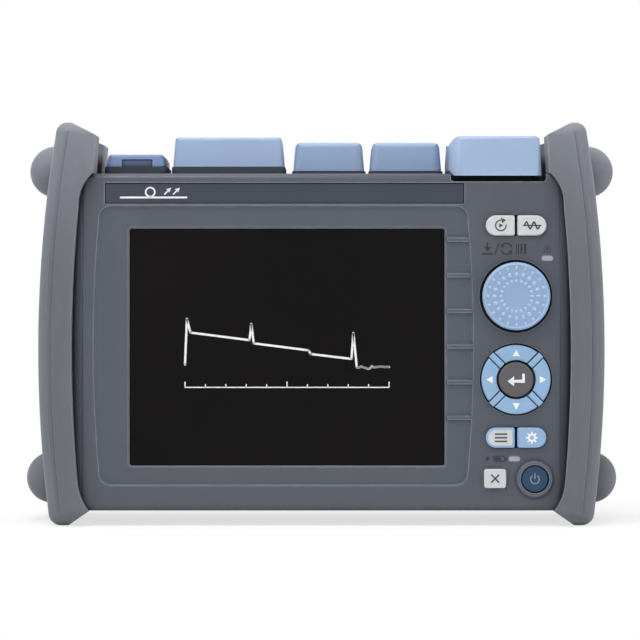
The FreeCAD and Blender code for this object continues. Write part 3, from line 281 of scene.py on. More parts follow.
def elastomer(name, colour):
    """Soft overmould: dry, with a velvet edge and a coarse skin; painted light makes the top and the outer
    sides paler.
    """
    n = Nodes(name)
    cloud = n.noise(22.0, 4.0, 0.6)
    scuff = n.noise(130.0, 5.0, 0.65, stretch=(1.0, 1.0, 0.35))
    body = n.blend(n.spread(cloud, 0.3, 0.7, 0.0, 1.0), shade(colour, 0.955), shade(colour, 1.05))
    body = n.blend(n.spread(scuff, 0.56, 0.72, 0.0, 0.35), body, shade(colour, 1.16))
    where = n.axes(n.place)
    facing = n.axes(n.add("ShaderNodeNewGeometry").outputs["Normal"])
    outward = n.times(facing["X"], n.spread(where["X"], -0.01, 0.01, -1.0, 1.0))
    # Painted light: paler towards the top.
    top_light_mask = n.spread(where["Z"], *TOP_LIGHT_FADE, 0.0, 1.0)
    body = n.blend(n.times(top_light_mask, top_light_mask), body, shade(colour, 1.6))
    # Painted light: the outer sides, turned away from the front, are paler.
    body = n.blend(n.spread(outward, 0.25, 1.0, 0.0, 0.6), body, shade(colour, 1.6))
    # Painted shade on the back wall of the strap slot, low down.
    foot = n.times(n.spread(where["Z"], *SLOT_DARK, 0.0, 1.0), n.spread(where["Z"], *SLOT_LIGHT, 1.0, 0.0))
    wall = n.times(n.spread(facing["Y"], -0.9, -0.5, 1.0, 0.0), n.spread(where["Y"], *SLOT_WALL, 0.0, 1.0))
    body = n.blend(n.times(foot, wall), body, shade(colour, 0.15))
    # Painted highlight along the convex edges.
    ridge = n.spread(n.openness(RIDGE_REACH), *RIDGE_OPEN, 0.0, 0.6)
    body = n.blend(n.times(n.edge_mask(RIDGE_REACH), ridge), body, shade(colour, 1.9))
    # Painted shade in the seams and beside neighbouring pieces.
    crevice_shade_mask = n.spread(n.openness(GROOVE_REACH, alone=False), *GROOVE_OPEN, 0.8, 0.0)
    body = n.blend(crevice_shade_mask, body, shade(colour, 0.25))
    n.link(body, n.shader.inputs["Base Color"])
    n.link(n.spread(cloud, 0.3, 0.7, 0.62, 0.78), n.shader.inputs["Roughness"])
    n.shader.inputs["Specular IOR Level"].default_value = 0.22
    n.shader.inputs["Sheen Weight"].default_value = 0.2
    n.shader.inputs["Sheen Roughness"].default_value = 0.35
    skin = n.bump(n.noise(1900.0, 3.0, 0.6), 0.4, 0.08 * MM)
    n.link(n.bump(n.noise(90.0, 2.0), 0.12, 0.3 * MM, skin), n.shader.inputs["Normal"])
    return n.material


def silk_print(name, colour, roughness=0.45):
    """Ink: a little uneven where the screen has left it thin."""
    n = Nodes(name)
    thin = n.spread(n.noise(900.0, 3.0), 0.35, 0.65, 0.0, 1.0)
    n.link(n.blend(thin, shade(colour, 0.9), shade(colour, 1.05)), n.shader.inputs["Base Color"])
    n.shader.inputs["Roughness"].default_value = roughness
    n.link(n.bump(n.noise(2400.0, 2.0), 0.15, 0.02 * MM), n.shader.inputs["Normal"])
    return n.material


def dark_glass(name, colour):
    """Coated window over a switched-off display: near black, with faint cloud in its gloss."""
    n = Nodes(name)
    cloud = n.spread(n.noise(14.0, 2.0), 0.35, 0.65, 0.0, 1.0)
    n.link(n.blend(cloud, shade(colour, 0.85), shade(colour, 1.15)), n.shader.inputs["Base Color"])
    n.link(n.spread(n.noise(60.0, 4.0), 0.3, 0.7, 0.07, 0.12), n.shader.inputs["Roughness"])
    n.shader.inputs["Specular IOR Level"].default_value = 0.06
    n.link(n.bump(n.noise(9.0, 2.0), 0.02, 0.2 * MM), n.shader.inputs["Normal"])
    return n.material


def metal(name, colour, roughness, brush=(1.0, 1.0, 40.0), scale=60.0):
    """Turned or drawn metal: fine lines in its gloss and a little stain."""
    n = Nodes(name)
    lines = n.noise(scale, 4.0, 0.7, stretch=brush)
    stain = n.noise(70.0, 3.0)
    body = n.blend(n.spread(stain, 0.35, 0.7, 0.0, 1.0), shade(colour, 1.04), shade(colour, 0.84))
    n.link(body, n.shader.inputs["Base Color"])
    n.shader.inputs["Metallic"].default_value = 1.0
    n.link(n.spread(lines, 0.3, 0.7, roughness * 0.75, roughness * 1.3), n.shader.inputs["Roughness"])
    n.link(n.bump(lines, 0.15, 0.03 * MM), n.shader.inputs["Normal"])
    return n.material


def lens(name, colour):
    """Translucent light pipe of an indicator."""
    n = Nodes(name)
    cloud = n.spread(n.noise(500.0, 2.0), 0.3, 0.7, 0.0, 1.0)
    n.link(n.blend(cloud, shade(colour, 0.92), shade(colour, 1.05)), n.shader.inputs["Base Color"])
    n.shader.inputs["Roughness"].default_value = 0.22
    n.shader.inputs["Coat Weight"].default_value = 0.4
    n.link(n.bump(n.noise(700.0, 2.0), 0.08, 0.03 * MM), n.shader.inputs["Normal"])
    return n.material


def board_laminate(name, colour):
    """Solder mask with buried tracks that show as darker lines."""
    n = Nodes(name)
    tracks = n.add("ShaderNodeTexBrick", Scale=260.0, Mortar_Size=0.035)
    n.link(n.place, tracks.inputs["Vector"])
    body = n.blend(tracks.outputs["Fac"], colour, shade(colour, 1.7))
    n.link(body, n.shader.inputs["Base Color"])
    n.shader.inputs["Roughness"].default_value = 0.35
    n.link(n.bump(tracks.outputs["Fac"], 0.2, 0.03 * MM), n.shader.inputs["Normal"])
    return n.material


# ---- mesh helpers -------------------------------------------------------------------------------
def new_piece(name, bm, material, body, smooth=True):
    """Makes an object of the mesh, which rides on a body of the frame and has one of its material slots."""
    mesh = bpy.data.meshes.new(name)
    bmesh.ops.recalc_face_normals(bm, faces=bm.faces)
    bm.to_mesh(mesh)
    bm.free()
    for polygon in mesh.polygons:
        polygon.use_smooth = smooth
    piece = bpy.data.objects.new(name, mesh)
    bpy.context.scene.collection.objects.link(piece)
    mesh.materials.append(material)
    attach(piece, body)


def arc(cx, cz, r, start, end, steps):
    """Points along part of a circle, between two angles in degrees."""
    return [(cx + r * math.cos(math.radians(start + (end - start) * k / steps)),
             cz + r * math.sin(math.radians(start + (end - start) * k / steps))) for k in range(steps + 1)]


def stroke(points, width):
    """Outline of a line of the given width through the points, with square ends."""
    left, right = [], []
    for i, (x, z) in enumerate(points):
        ax, az = points[max(i - 1, 0)]
        bx, bz = points[min(i + 1, len(points) - 1)]
        length = math.hypot(bx - ax, bz - az)
        nx, nz = -(bz - az) / length, (bx - ax) / length
        reach = width / 2
        if 0 < i < len(points) - 1:
            first = math.hypot(x - ax, z - az)
            cosine = ((x - ax) * (bx - ax) + (z - az) * (bz - az)) / (first * length)
            reach /= max(cosine, 0.5)
        left.append((x + nx * reach, z + nz * reach))
        right.append((x - nx * reach, z - nz * reach))
    return left + right[::-1]


def add_slab(bm, outline, y_back, y_front):
    """A flat printed shape, from its outline in X and Z, in millimetres."""
    back = [bm.verts.new((x * MM, y_back * MM, z * MM)) for x, z in outline]
    front = [bm.verts.new((x * MM, y_front * MM, z * MM)) for x, z in outline]
    bm.faces.new(back)
    bm.faces.new(front)
    for i in range(len(outline)):
        j = (i + 1) % len(outline)
        bm.faces.new((back[i], back[j], front[j], front[i]))


def add_ring(bm, cx, cz, r_in, r_out, start, end, y_back, y_front, steps=48):
    """Part of a flat ring; a full turn closes on itself."""
    full = abs(end - start) >= 360
    inner, outer = arc(cx, cz, r_in, start, end, steps), arc(cx, cz, r_out, start, end, steps)
    if full:
        inner, outer = inner[:-1], outer[:-1]
    loops = [[bm.verts.new((x * MM, y * MM, z * MM)) for x, z in line]
             for line in (inner, outer) for y in (y_back, y_front)]
    count = len(inner)
    for i in range(count if full else count - 1):
        j = (i + 1) % count
        for a, b in ((0, 1), (1, 3), (3, 2), (2, 0)):
            bm.faces.new((loops[a][i], loops[a][j], loops[b][j], loops[b][i]))
    if not full:
        for i in (0, count - 1):
            bm.faces.new((loops[0][i], loops[1][i], loops[3][i], loops[2][i]))


def front_of(node):
    """Depth of a node's front face, in millimetres."""
    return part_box(node)[0].y / MM


def centre_of(node):
    """Middle of a node's box in X and Z, in millimetres."""
    low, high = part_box(node)
    middle = (low + high) / 2
    return middle.x / MM, middle.z / MM


def key_face(node):
    """Middle of a key's cap in X and Z, and the depth of its front."""
    x, z = centre_of(node)
    return x, z, front_of(node)


# ---- icons, each drawn about its own centre in millimetres ---------------------------------------
def turned(points, angle):
    """The points, turned about their own zero."""
    c, s = math.cos(angle), math.sin(angle)
    return [(u * c - v * s, u * s + v * c) for u, v in points]


def icon_run():
    """A ring arrow round a pointer: a measurement that keeps running."""
    r, tip = 1.95, math.radians(62)
    head = [(r * math.cos(tip) + u, r * math.sin(tip) + v)
            for u, v in ((-1.0, 1.15), (1.0, 0.35), (-0.35, -0.95))]
    return [stroke(arc(0, 0, r, 88, 370, 26), 0.5), head, [(-0.6, -0.85), (0.95, 0.0), (-0.6, 0.85)]]


def icon_average():
    """A wave with a straight line through its middle."""
    wave = [(-2.8 + 0.175 * k, 1.3 * math.sin(k * math.pi / 8)) for k in range(33)]
    return [stroke(wave, 0.56), stroke([(-3.5, 0.0), (3.5, 0.0)], 0.46)]


def icon_menu():
    """Three bars of a list."""
    return [[(-2.3, z - 0.3), (2.3, z - 0.3), (2.3, z + 0.3), (-2.3, z + 0.3)] for z in (1.35, 0.0, -1.35)]


def icon_enter():
    """A line that turns back to the left, with its arrow head."""
    return [stroke([(2.7, 2.2), (2.7, -0.6), (-1.0, -0.6)], 0.95),
            [(-3.2, -0.6), (-0.8, 1.25), (-0.8, -2.45)]]


def icon_cross():
    """A cross: leave or cancel. One arm is in two halves, so that no faces lie over each other."""
    return [stroke([(-1.5, -1.5), (1.5, 1.5)], 0.62), stroke([(-1.5, 1.5), (-0.22, 0.22)], 0.62),
            stroke([(0.22, -0.22), (1.5, -1.5)], 0.62)]


def icon_gear_teeth(count=8):
    """Teeth of a gear wheel; its rim is a ring of its own."""
    tooth = [(1.25, -0.42), (2.25, -0.3), (2.25, 0.3), (1.25, 0.42)]
    return [turned(tooth, 2 * math.pi * k / count) for k in range(count)]


def icon_rays(count=8):
    """A point of light with rays."""
    ray = [(0.75, 0.0), (1.7, 0.0)]
    rays = [stroke(turned(ray, 2 * math.pi * k / count), 0.26) for k in range(count)]
    return rays + [arc(0, 0, 0.4, 0, 345, 11)]


def icon_battery():
    """An outlined cell with its cap, and a filled part."""
    return [stroke([(-2.6, 1.0), (1.9, 1.0), (1.9, -1.0), (-2.6, -1.0), (-2.6, 0.83)], 0.26),
            [(1.95, -0.45), (2.55, -0.45), (2.55, 0.45), (1.95, 0.45)],
            [(-2.2, -0.6), (0.3, -0.6), (0.3, 0.6), (-2.2, 0.6)]]


def icon_push():
    """An arrow that presses down on a bar."""
    return [stroke([(0, 1.7), (0, 0.2)], 0.42), [(-0.95, 0.45), (0.95, 0.45), (0, -0.75)],
            [(-1.5, -1.5), (1.5, -1.5), (1.5, -1.1), (-1.5, -1.1)]]


def icon_slash():
    """A slanted line between two meanings."""
    return [stroke([(-0.75, -2.1), (0.75, 2.1)], 0.42)]


def icon_turn():
    """Two bent arrows that chase each other."""
    shapes = []
    for start in (20, 200):
        shapes.append(stroke(arc(0, 0, 1.4, start, start + 115, 12), 0.34))
        a = math.radians(start + 128)
        shapes.append([(r * math.cos(a + turn), r * math.sin(a + turn))
                       for r, turn in ((1.4, 0.28), (0.75, -0.25), (2.05, -0.25))])
    return shapes


def icon_steps():
    """Bars from narrow to wide: fine and coarse steps."""
    return [[(x, -1.9), (x + w, -1.9), (x + w, 1.9), (x, 1.9)]
            for x, w in ((-1.7, 0.25), (-0.95, 0.4), (0.0, 0.6), (1.2, 0.9))]


def icon_bolt():
    """A flash: charging."""
    return [[(0.5, 1.25), (-1.0, -0.25), (-0.1, -0.25), (-0.5, -1.25), (1.0, 0.25), (0.1, 0.25)]]


def icon_fibre():
    """A line with a loop over it and two slanted arrows: an optical fibre."""
    arrows = []
    for x in (4.2, 6.8):
        arrows.append(stroke([(x, -0.1), (x + 1.3, 1.2)], 0.42))
        arrows.append([(x + 2.0, 1.9), (x + 0.55, 1.45), (x + 1.55, 0.45)])
    loop = arc(0, 0.6, 1.35, 0, 180, 18), arc(0, 0.6, 1.35, 180, 360, 18)
    return [stroke([(-9.0, -1.0), (11.0, -1.0)], 0.55)] + [stroke(half, 0.48) for half in loop] + arrows


def trace():
    """The curve that such a tester draws: a falling line with a spike at each joint, over a ticked scale."""
    width, thin = 0.8, 0.4
    half, base, step = 38.0, -15.0, 7.6
    short, tall = -13.8, -12.9
    end_x, end_z = 26.0, -7.6
    points = [(-half, -6.5), (-37.3, 10.5), (-36.0, 5.4), (-14.0, 2.6), (-13.3, 8.6), (-12.4, 1.4),
              (8.0, -1.2), (8.9, -2.6), (24.0, -4.4), (24.7, 5.2), (end_x, end_z)]
    points += [(end_x + 0.8 * k, end_z + 0.5 * math.sin(k * 2.2 + k * k)) for k in range(1, 16)]
    lines = [stroke([a, b], width) for a, b in zip(points, points[1:])]
    joints = [arc(x, z, width / 2, 0, 330, 11) for x, z in points]
    scale = [stroke([(-half, base), (half, base)], thin)]
    ticks = [stroke([(-half + step * k, base), (-half + step * k, short if k % 5 else tall)], thin)
             for k in range(11)]
    return lines + joints + scale + ticks


def moved(outlines, x, z, scale=1.0):
    """The outlines, scaled about their own zero and set down at x and z."""
    return [[(x + u * scale, z + v * scale) for u, v in line] for line in outlines]


# ---- operators ----------------------------------------------------------------------------------
def shown(context):
    """The user's colours and sizes."""
    return context.scene.tester_colours, context.scene.tester_sizes


MOULDED_SHELLS = ("front_case", "rear_case", "battery_cover", "stand")
GUARDS = ("left_guard", "right_guard")
BASES = ("port_panel", "power_inlet_base", "data_port_base", "light_source_base", "power_meter_base",
         "main_port_base")
COVERS = ("power_inlet_cover", "data_port_cover", "light_source_cover", "power_meter_cover",
          "main_port_cover")
SMALL_COVERS = ("light_source_cover", "power_meter_cover")
BLUE_KEYS = ("setup_key", "menu_key", "arrow_up_key", "arrow_down_key", "arrow_left_key", "arrow_right_key",
             "pad_strips")
WHITE_KEYS = ("real_time_key", "average_key", "escape_key")
STEEL = ("strap_pins", "cover_hinge_pins", "case_screws", "battery_cover_screws", "stand_pivots",
         "encoder_shaft", "push_plunger")
ADAPTERS = ("main_port_adapter", "light_source_adapter", "power_meter_adapter")


def dress(nodes, material):
    """Gives the nodes their material."""
    for name in nodes:
        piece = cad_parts[name]
        piece.data.materials.clear()
        piece.data.materials.append(material)


def break_edges(nodes, width, segments=2, angle=32.0):
    """Joins the frame's facets into whole faces, then rounds what is still sharp between them."""
    for name in nodes:
        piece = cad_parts[name]
        weld = piece.modifiers.new("join", "WELD")
        weld.merge_threshold = 0.002 * MM
        flat = piece.modifiers.new("whole faces", "DECIMATE")
        flat.decimate_type = "DISSOLVE"
        flat.angle_limit = math.radians(0.5)
        bevel = piece.modifiers.new("edge break", "BEVEL")
        bevel.width = width
        bevel.segments = segments
        bevel.limit_method = "ANGLE"
        bevel.angle_limit = math.radians(angle)
        bevel.harden_normals = True
        bevel.use_clamp_overlap = True


class TESTER_OT_case(bpy.types.Operator):
    """Finishes the shells of the case, the battery cover and the folding stand"""
    bl_idname = "tester.case"
    bl_label = "Case shells"

    def execute(self, context):
        colours = context.scene.tester_colours
        # Rubbed edges with a strong painted highlight, painted shade in grooves and seams, wider painted
        # shade beside the guards.
        dress(MOULDED_SHELLS, moulded("case plastic", colours.case, roughness=0.56, grain=0.4, wear_and_highlight=1.0,
                                      edge=0.7 * MM, crevice_shade=1.1, gleam=3.2, neighbour_shade=0.6))
        dress(["stand_pads"], elastomer("pad rubber", rgb(38, 38, 40)))
        dress(["nameplate"], moulded("smooth plate", colours.plate, roughness=0.42, grain=0.08, mottle=0.03,
                                     wear_and_highlight=0.0))
        return {"FINISHED"}


class TESTER_OT_guards(bpy.types.Operator):
    """Finishes the soft side guards"""
    bl_idname = "tester.guards"
    bl_label = "Side guards"

    def execute(self, context):
        colours = context.scene.tester_colours
        dress(GUARDS, elastomer("guard elastomer", colours.guard))
        return {"FINISHED"}


class TESTER_OT_ports(bpy.types.Operator):
    """Finishes the port covers, their bases and the sockets under them, and threads the adapters"""
    bl_idname = "tester.ports"
    bl_label = "Ports and covers"

    def execute(self, context):
        colours = context.scene.tester_colours
        finish = {"roughness": 0.42, "grain": 0.22, "mottle": 0.025}
        # Wide rubbed edges carry a painted highlight along the covers' lips.
        dress(["data_port_cover", "main_port_cover"],
              moulded("cover plastic", colours.blue, wear_and_highlight=0.45, edge=1.0 * MM, **finish))
        # The two middle covers take a darker copy of the cover blue as painted shade.
        dress(SMALL_COVERS, moulded("small cover plastic", colours.blue_small_shaded, wear_and_highlight=0.45, edge=1.0 * MM,
                                    **finish))
        # Darker copy of the cover blue as painted shade; strong crevice shade reaching 4 mm paints the nail
        # notch dark.
        dress(["power_inlet_cover"], moulded("inlet cover plastic", colours.blue_inlet_shaded, wear_and_highlight=0.7, gleam=2.0,
                                             crevice_shade=2.4, groove=4.0 * MM, **finish))
        dress(BASES, moulded("base plastic", colours.base, roughness=0.55, grain=0.35))
        dress(["dc_jack", "lan_socket", "encoder_body", "speaker", "battery_pack"],
              moulded("black plastic", rgb(28, 28, 31), roughness=0.45, grain=0.25))
        nickel = metal("nickel", (0.62, 0.60, 0.55), 0.22, brush=(1.0, 1.0, 30.0))
        dress(ADAPTERS, nickel)
        dress(["usb_host_sockets", "usb_device_socket"], metal("tinned steel", (0.6, 0.61, 0.63), 0.3))
        dress(["ferrule_sleeves"], moulded("ceramic", rgb(240, 238, 228), roughness=0.16, grain=0.03,
                                           mottle=0.01, wear_and_highlight=0.0, coat=0.5))
        for name in ADAPTERS:
            self.thread(name, nickel)
        return {"FINISHED"}

    def thread(self, name, material, radius=4.0, depth=0.22, pitch=0.75, turns=6, steps=36):
        """A raised helix round the barrel, which runs out at both ends. Lengths are in millimetres."""
        lead, root, half_width, run_out = 0.6, radius - 0.05, 0.34, 10
        low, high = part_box(name)
        x, y = (low.x + high.x) / 2 / MM, (low.y + high.y) / 2 / MM
        bottom = high.z / MM - lead - pitch * turns
        bm = bmesh.new()
        rows = []
        for k in range(turns * steps + 1):
            a = 2 * math.pi * k / steps
            z = bottom + pitch * k / steps
            fade = min(1.0, k / run_out, (turns * steps - k) / run_out)
            profile = ((root, z - half_width), (radius + depth * fade, z), (root, z + half_width))
            rows.append([bm.verts.new(((x + r * math.cos(a)) * MM, (y + r * math.sin(a)) * MM, h * MM))
                         for r, h in profile])
        for a, b in zip(rows, rows[1:]):
            for i in range(3):
                j = (i + 1) % 3
                bm.faces.new((a[i], a[j], b[j], b[i]))
        bm.faces.new(rows[0])
        bm.faces.new(rows[-1])
        new_piece(name + "_thread", bm, material, CASE)


class TESTER_OT_keys(bpy.types.Operator):
    """Finishes the keys and prints their icons"""
    bl_idname = "tester.keys"
    bl_label = "Keys and icons"

    def execute(self, context):
        colours, sizes = shown(context)
        self.ink = sizes.ink / MM
        # Painted shade darkens the keys beside the gaps between them.
        blue = moulded("key plastic blue", colours.key_blue, roughness=0.4, grain=0.15, mottle=0.02,
                       wear_and_highlight=0.25, crevice_shade=1.0, groove=0.7 * MM)
        white = moulded("key plastic white", colours.key_white, roughness=0.42, grain=0.15, mottle=0.015,
                        wear_and_highlight=0.0)
        dress(BLUE_KEYS, blue)
        dress(WHITE_KEYS, white)
        # Rubbed edges with a painted highlight.
        dress(["enter_key"], moulded("key plastic dark", colours.key_dark, roughness=0.45, grain=0.2,
                                     wear_and_highlight=0.8))
        # Rubbed edges with a strong painted highlight, which makes a light ring round the key.
        dress(["power_key"], moulded("key plastic power", colours.key_power, roughness=0.35, grain=0.15,
                                     wear_and_highlight=1.0, gleam=4.0))
        dress(["indicator_lenses"], lens("light pipe", rgb(158, 161, 170)))
        dark = silk_print("ink dark", colours.ink_dark)
        pale = silk_print("ink white", colours.ink_white)
        self.icon("real_time_icon", "real_time_key", icon_run(), dark, "key_dark", shift=0.5)
        self.icon("average_icon", "average_key", icon_average(), dark, "key_dark", shift=-0.3)
        self.icon("escape_icon", "escape_key", icon_cross(), dark, "key_dark")
        self.icon("enter_icon", "enter_key", icon_enter(), pale, "key_white")
        self.menu_pad(white)
        self.icon("menu_icon", "menu_key", icon_menu(), dark, "key_dark", shift=0.55, lift=self.ink)
        self.gear(pale)
        self.power(silk_print("ink power", colours.ink_power))
        for name, turn in (("up", 0), ("right", 90), ("down", 180), ("left", 270)):
            self.arrow(name, turn, pale)
        return {"FINISHED"}

    def icon(self, name, node, outlines, material, slot, shift=0.0, lift=0.0):
        """Prints an icon on a key, to the right of its middle by shift and proud of its face by lift."""
        x, z, front = key_face(node)
        bm = bmesh.new()
        for outline in moved(outlines, x + shift, z):
            add_slab(bm, outline, front + KEY_SEAT - lift, front - self.ink - lift)
        new_piece(name, bm, material, node, smooth=False)

    def menu_pad(self, material):
        """White panel on the menu key, which leaves a blue rim at its round end."""
        x, z, front = key_face("menu_key")
        bm = bmesh.new()
        r, corner = 2.9, 0.5
        round_end, square_end = x - 1.35, x + 4.3
        left = arc(round_end, z, r, 90, 270, 20)
        right = (arc(square_end, z - r + corner, corner, 270, 360, 5)
                 + arc(square_end, z + r - corner, corner, 0, 90, 5))
        add_slab(bm, left + right, front + KEY_SEAT, front - self.ink)
        new_piece("menu_panel", bm, material, "menu_key", smooth=False)

    def gear(self, material):
        """Gear wheel on the setup key; the teeth are a little lower than the rim that they lap."""
        x, z, front = key_face("setup_key")
        x -= 0.35
        hole, rim, lower = 0.75, 1.5, 0.98
        bm = bmesh.new()
        add_ring(bm, x, z, hole, rim, 0, 360, front + KEY_SEAT, front - self.ink, 32)
        for outline in moved(icon_gear_teeth(), x, z):
            add_slab(bm, outline, front + KEY_SEAT, front - self.ink * lower)
        new_piece("setup_icon", bm, material, "setup_key", smooth=False)

    def power(self, material):
        """Open ring with an upright bar."""
        x, z, front = key_face("power_key")
        half, foot, top = 0.25, z + 0.1, z + 2.2
        bm = bmesh.new()
        add_ring(bm, x, z - 0.1, 1.35, 1.85, 125, 415, front + KEY_SEAT, front - self.ink)
        add_slab(bm, [(x - half, foot), (x + half, foot), (x + half, top), (x - half, top)],
                 front + KEY_SEAT, front - self.ink)
        new_piece("power_icon", bm, material, "power_key", smooth=False)

    def arrow(self, name, turn, material):
        """Arrow head on a key of the pad, turned clockwise by degrees from the top."""
        pad_x, pad_z = centre_of("enter_key")
        node = f"arrow_{name}_key"
        front = front_of(node)
        bm = bmesh.new()
        head = turned([(-1.35, 8.75), (1.35, 8.75), (0.0, 11.25)], math.radians(-turn))
        add_slab(bm, [(pad_x + u, pad_z + v) for u, v in head], front + KEY_SEAT, front - self.ink)
        new_piece(f"arrow_{name}_icon", bm, material, node, smooth=False)


class TESTER_OT_knob(bpy.types.Operator):
    """Raises three rings of grip dots on the knob's dished face"""
    bl_idname = "tester.knob"
    bl_label = "Knob grip"
    # Height of the rim, depth of the dish in it and radius of the dish's curve, in millimetres.
    lip, dish_depth, dish_radius = 0.4, 0.5, 60.0
    # Each ring's radius in millimetres, and the width and length of its dots; like the height of all dots,
    # these are factors on the dot size that the user sets.
    rings, height = ((5.7, 1.0, 1.3), (8.15, 1.15, 1.5), (10.6, 0.95, 1.3)), 0.55

    def execute(self, context):
        colours, sizes = shown(context)
        x, z = centre_of("rotary_knob")
        front = front_of("rotary_knob")
        # Rubbed edges with a painted highlight, which makes a light line round the rim.
        dress(["rotary_knob"], moulded("knob plastic", colours.knob, roughness=0.36, grain=0.12, mottle=0.02,
                                       wear_and_highlight=1.0, edge=0.6 * MM, gleam=2.0))
        # The dots take a lighter copy of the knob's blue as a painted highlight.
        lit_tips = moulded("knob tips", colours.knob_tip_highlight, roughness=0.3, grain=0.1, mottle=0.02, wear_and_highlight=0.0)
        bm = bmesh.new()
        for radius, wide, long in self.rings:
            for k in range(sizes.dots_per_ring):
                a = 2 * math.pi * k / sizes.dots_per_ring
                y = front + self.lip + max(0.0, self.dish_depth - radius ** 2 / (2 * self.dish_radius))
                self.dot(bm, x, z, radius, a, y, sizes.grip_dot / MM, wide, long)
        new_piece("knob_grip_dots", bm, lit_tips, "knob")
        return {"FINISHED"}

    def dot(self, bm, cx, cz, radius, angle, y, size, wide, long):
        """A flattened ball, longest along the knob's radius."""
        rows, sectors = 8, 12
        along, across = (math.cos(angle), math.sin(angle)), (-math.sin(angle), math.cos(angle))

        def corner(row, sector):
            slope, turn = math.pi * row / rows, 2 * math.pi * sector / sectors
            u = math.sin(slope) * math.cos(turn) * size * long + radius
            w = math.sin(slope) * math.sin(turn) * size * wide
            h = math.cos(slope) * size * self.height
            return bm.verts.new(((cx + u * along[0] + w * across[0]) * MM, (y + h) * MM,
                                 (cz + u * along[1] + w * across[1]) * MM))

        back, front = corner(0, 0), corner(rows, 0)
        belts = [[corner(row, sector) for sector in range(sectors)] for row in range(1, rows)]
        for i in range(sectors):
            j = (i + 1) % sectors
            bm.faces.new((back, belts[0][i], belts[0][j]))
            bm.faces.new((front, belts[-1][j], belts[-1][i]))
            for upper, lower in zip(belts, belts[1:]):
                bm.faces.new((upper[i], lower[i], lower[j], upper[j]))


class TESTER_OT_face(bpy.types.Operator):
    """Finishes the display and prints the faint icons beside the knob and the indicators"""
    bl_idname = "tester.face"
    bl_label = "Display and face prints"
    # In millimetres: how far the nameplate lies under the face, and how far the knob's icons over its middle.
    plate_sink, label_rise = 0.35, 17.6
    # The knob's icons: push for coarse or fine steps, with the place and the scale of each.
    knob_icons = ((icon_push, -10.6, 1.4), (icon_slash, -7.1, 1.0), (icon_turn, -3.5, 1.45),
                  (icon_steps, 1.7, 1.0))

    def execute(self, context):
        colours, sizes = shown(context)
        dress(["display_window"], dark_glass("display glass", colours.glass))
        dress(["display_module", "chassis_plate"], metal("plated sheet", (0.55, 0.56, 0.57), 0.35))
        dress(["display_gasket", "keypad_mat"], elastomer("foam", rgb(40, 40, 42)))
        knob_x, knob_z = centre_of("rotary_knob")
        (laser_x, laser_z), (charge_x, charge_z) = self.lamps()
        knob_label = []
        for drawn, shift, scale in self.knob_icons:
            knob_label += moved(drawn(), knob_x + shift, knob_z + self.label_rise, scale)
        laser_label = moved(icon_rays(), laser_x, laser_z + 3.5)
        charge_label = (moved(icon_battery(), charge_x - 5.4, charge_z, 0.95)
                        + moved(icon_bolt(), charge_x - 10.0, charge_z))
        glass_x, glass_z = centre_of("display_window")
        plate_x, plate_z = centre_of("nameplate")
        dark = silk_print("ink case", colours.ink_case, 0.6)
        white = silk_print("ink splash", colours.ink_white)
        face = front_of("nameplate") - self.plate_sink
        ink = sizes.ink / MM
        for name, label in (("knob_label", knob_label), ("laser_label", laser_label),
                            ("charge_label", charge_label)):
            self.imprint(name, label, face, ink, dark, "nameplate_grey")
        self.imprint("display_trace", moved(trace(), glass_x, glass_z),
                     front_of("display_window"), ink, white, "key_white")
        self.imprint("plate_icons", moved(icon_fibre(), plate_x - 50.0, plate_z - 0.3, 1.25),
                     front_of("nameplate"), ink, white, "key_white")
        return {"FINISHED"}

    def lamps(self):
        """Middles of the laser's and the charger's lens, which lie in two corners of their node's box."""
        low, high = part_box("indicator_lenses")
        half_w, half_h = 2.1, 0.93
        return ((high.x / MM - half_w, high.z / MM - half_h),
                (low.x / MM + half_w, low.z / MM + half_h))

    def imprint(self, name, outlines, face, ink, material, slot):
        """Prints outlines on a face of the case."""
        bm = bmesh.new()
        for outline in outlines:
            add_slab(bm, outline, face + FACE_SEAT, face - ink)
        new_piece(name, bm, material, CASE, smooth=False)


class TESTER_OT_hardware(bpy.types.Operator):
    """Finishes the screws, pins and the parts inside the case"""
    bl_idname = "tester.hardware"
    bl_label = "Hardware and inner parts"

    def execute(self, context):
        dress(STEEL, metal("satin steel", (0.58, 0.58, 0.59), 0.32))
        dress(["otdr_module"], metal("milled aluminium", (0.72, 0.73, 0.74), 0.36))
        dress(["main_board", "key_board"], board_laminate("circuit board", rgb(20, 78, 50)))
        return {"FINISHED"}


class TESTER_OT_edges(bpy.types.Operator):
    """Breaks the sharp edges of the moulded pieces"""
    bl_idname = "tester.edges"
    bl_label = "Broken edges"

    def execute(self, context):
        sizes = context.scene.tester_sizes
        break_edges(MOULDED_SHELLS + BASES + COVERS, sizes.edge)
        break_edges(BLUE_KEYS + WHITE_KEYS + ("enter_key", "power_key", "rotary_knob"), sizes.edge * 0.7)
        break_edges(GUARDS, sizes.edge * 2.2, 3)
        return {"FINISHED"}


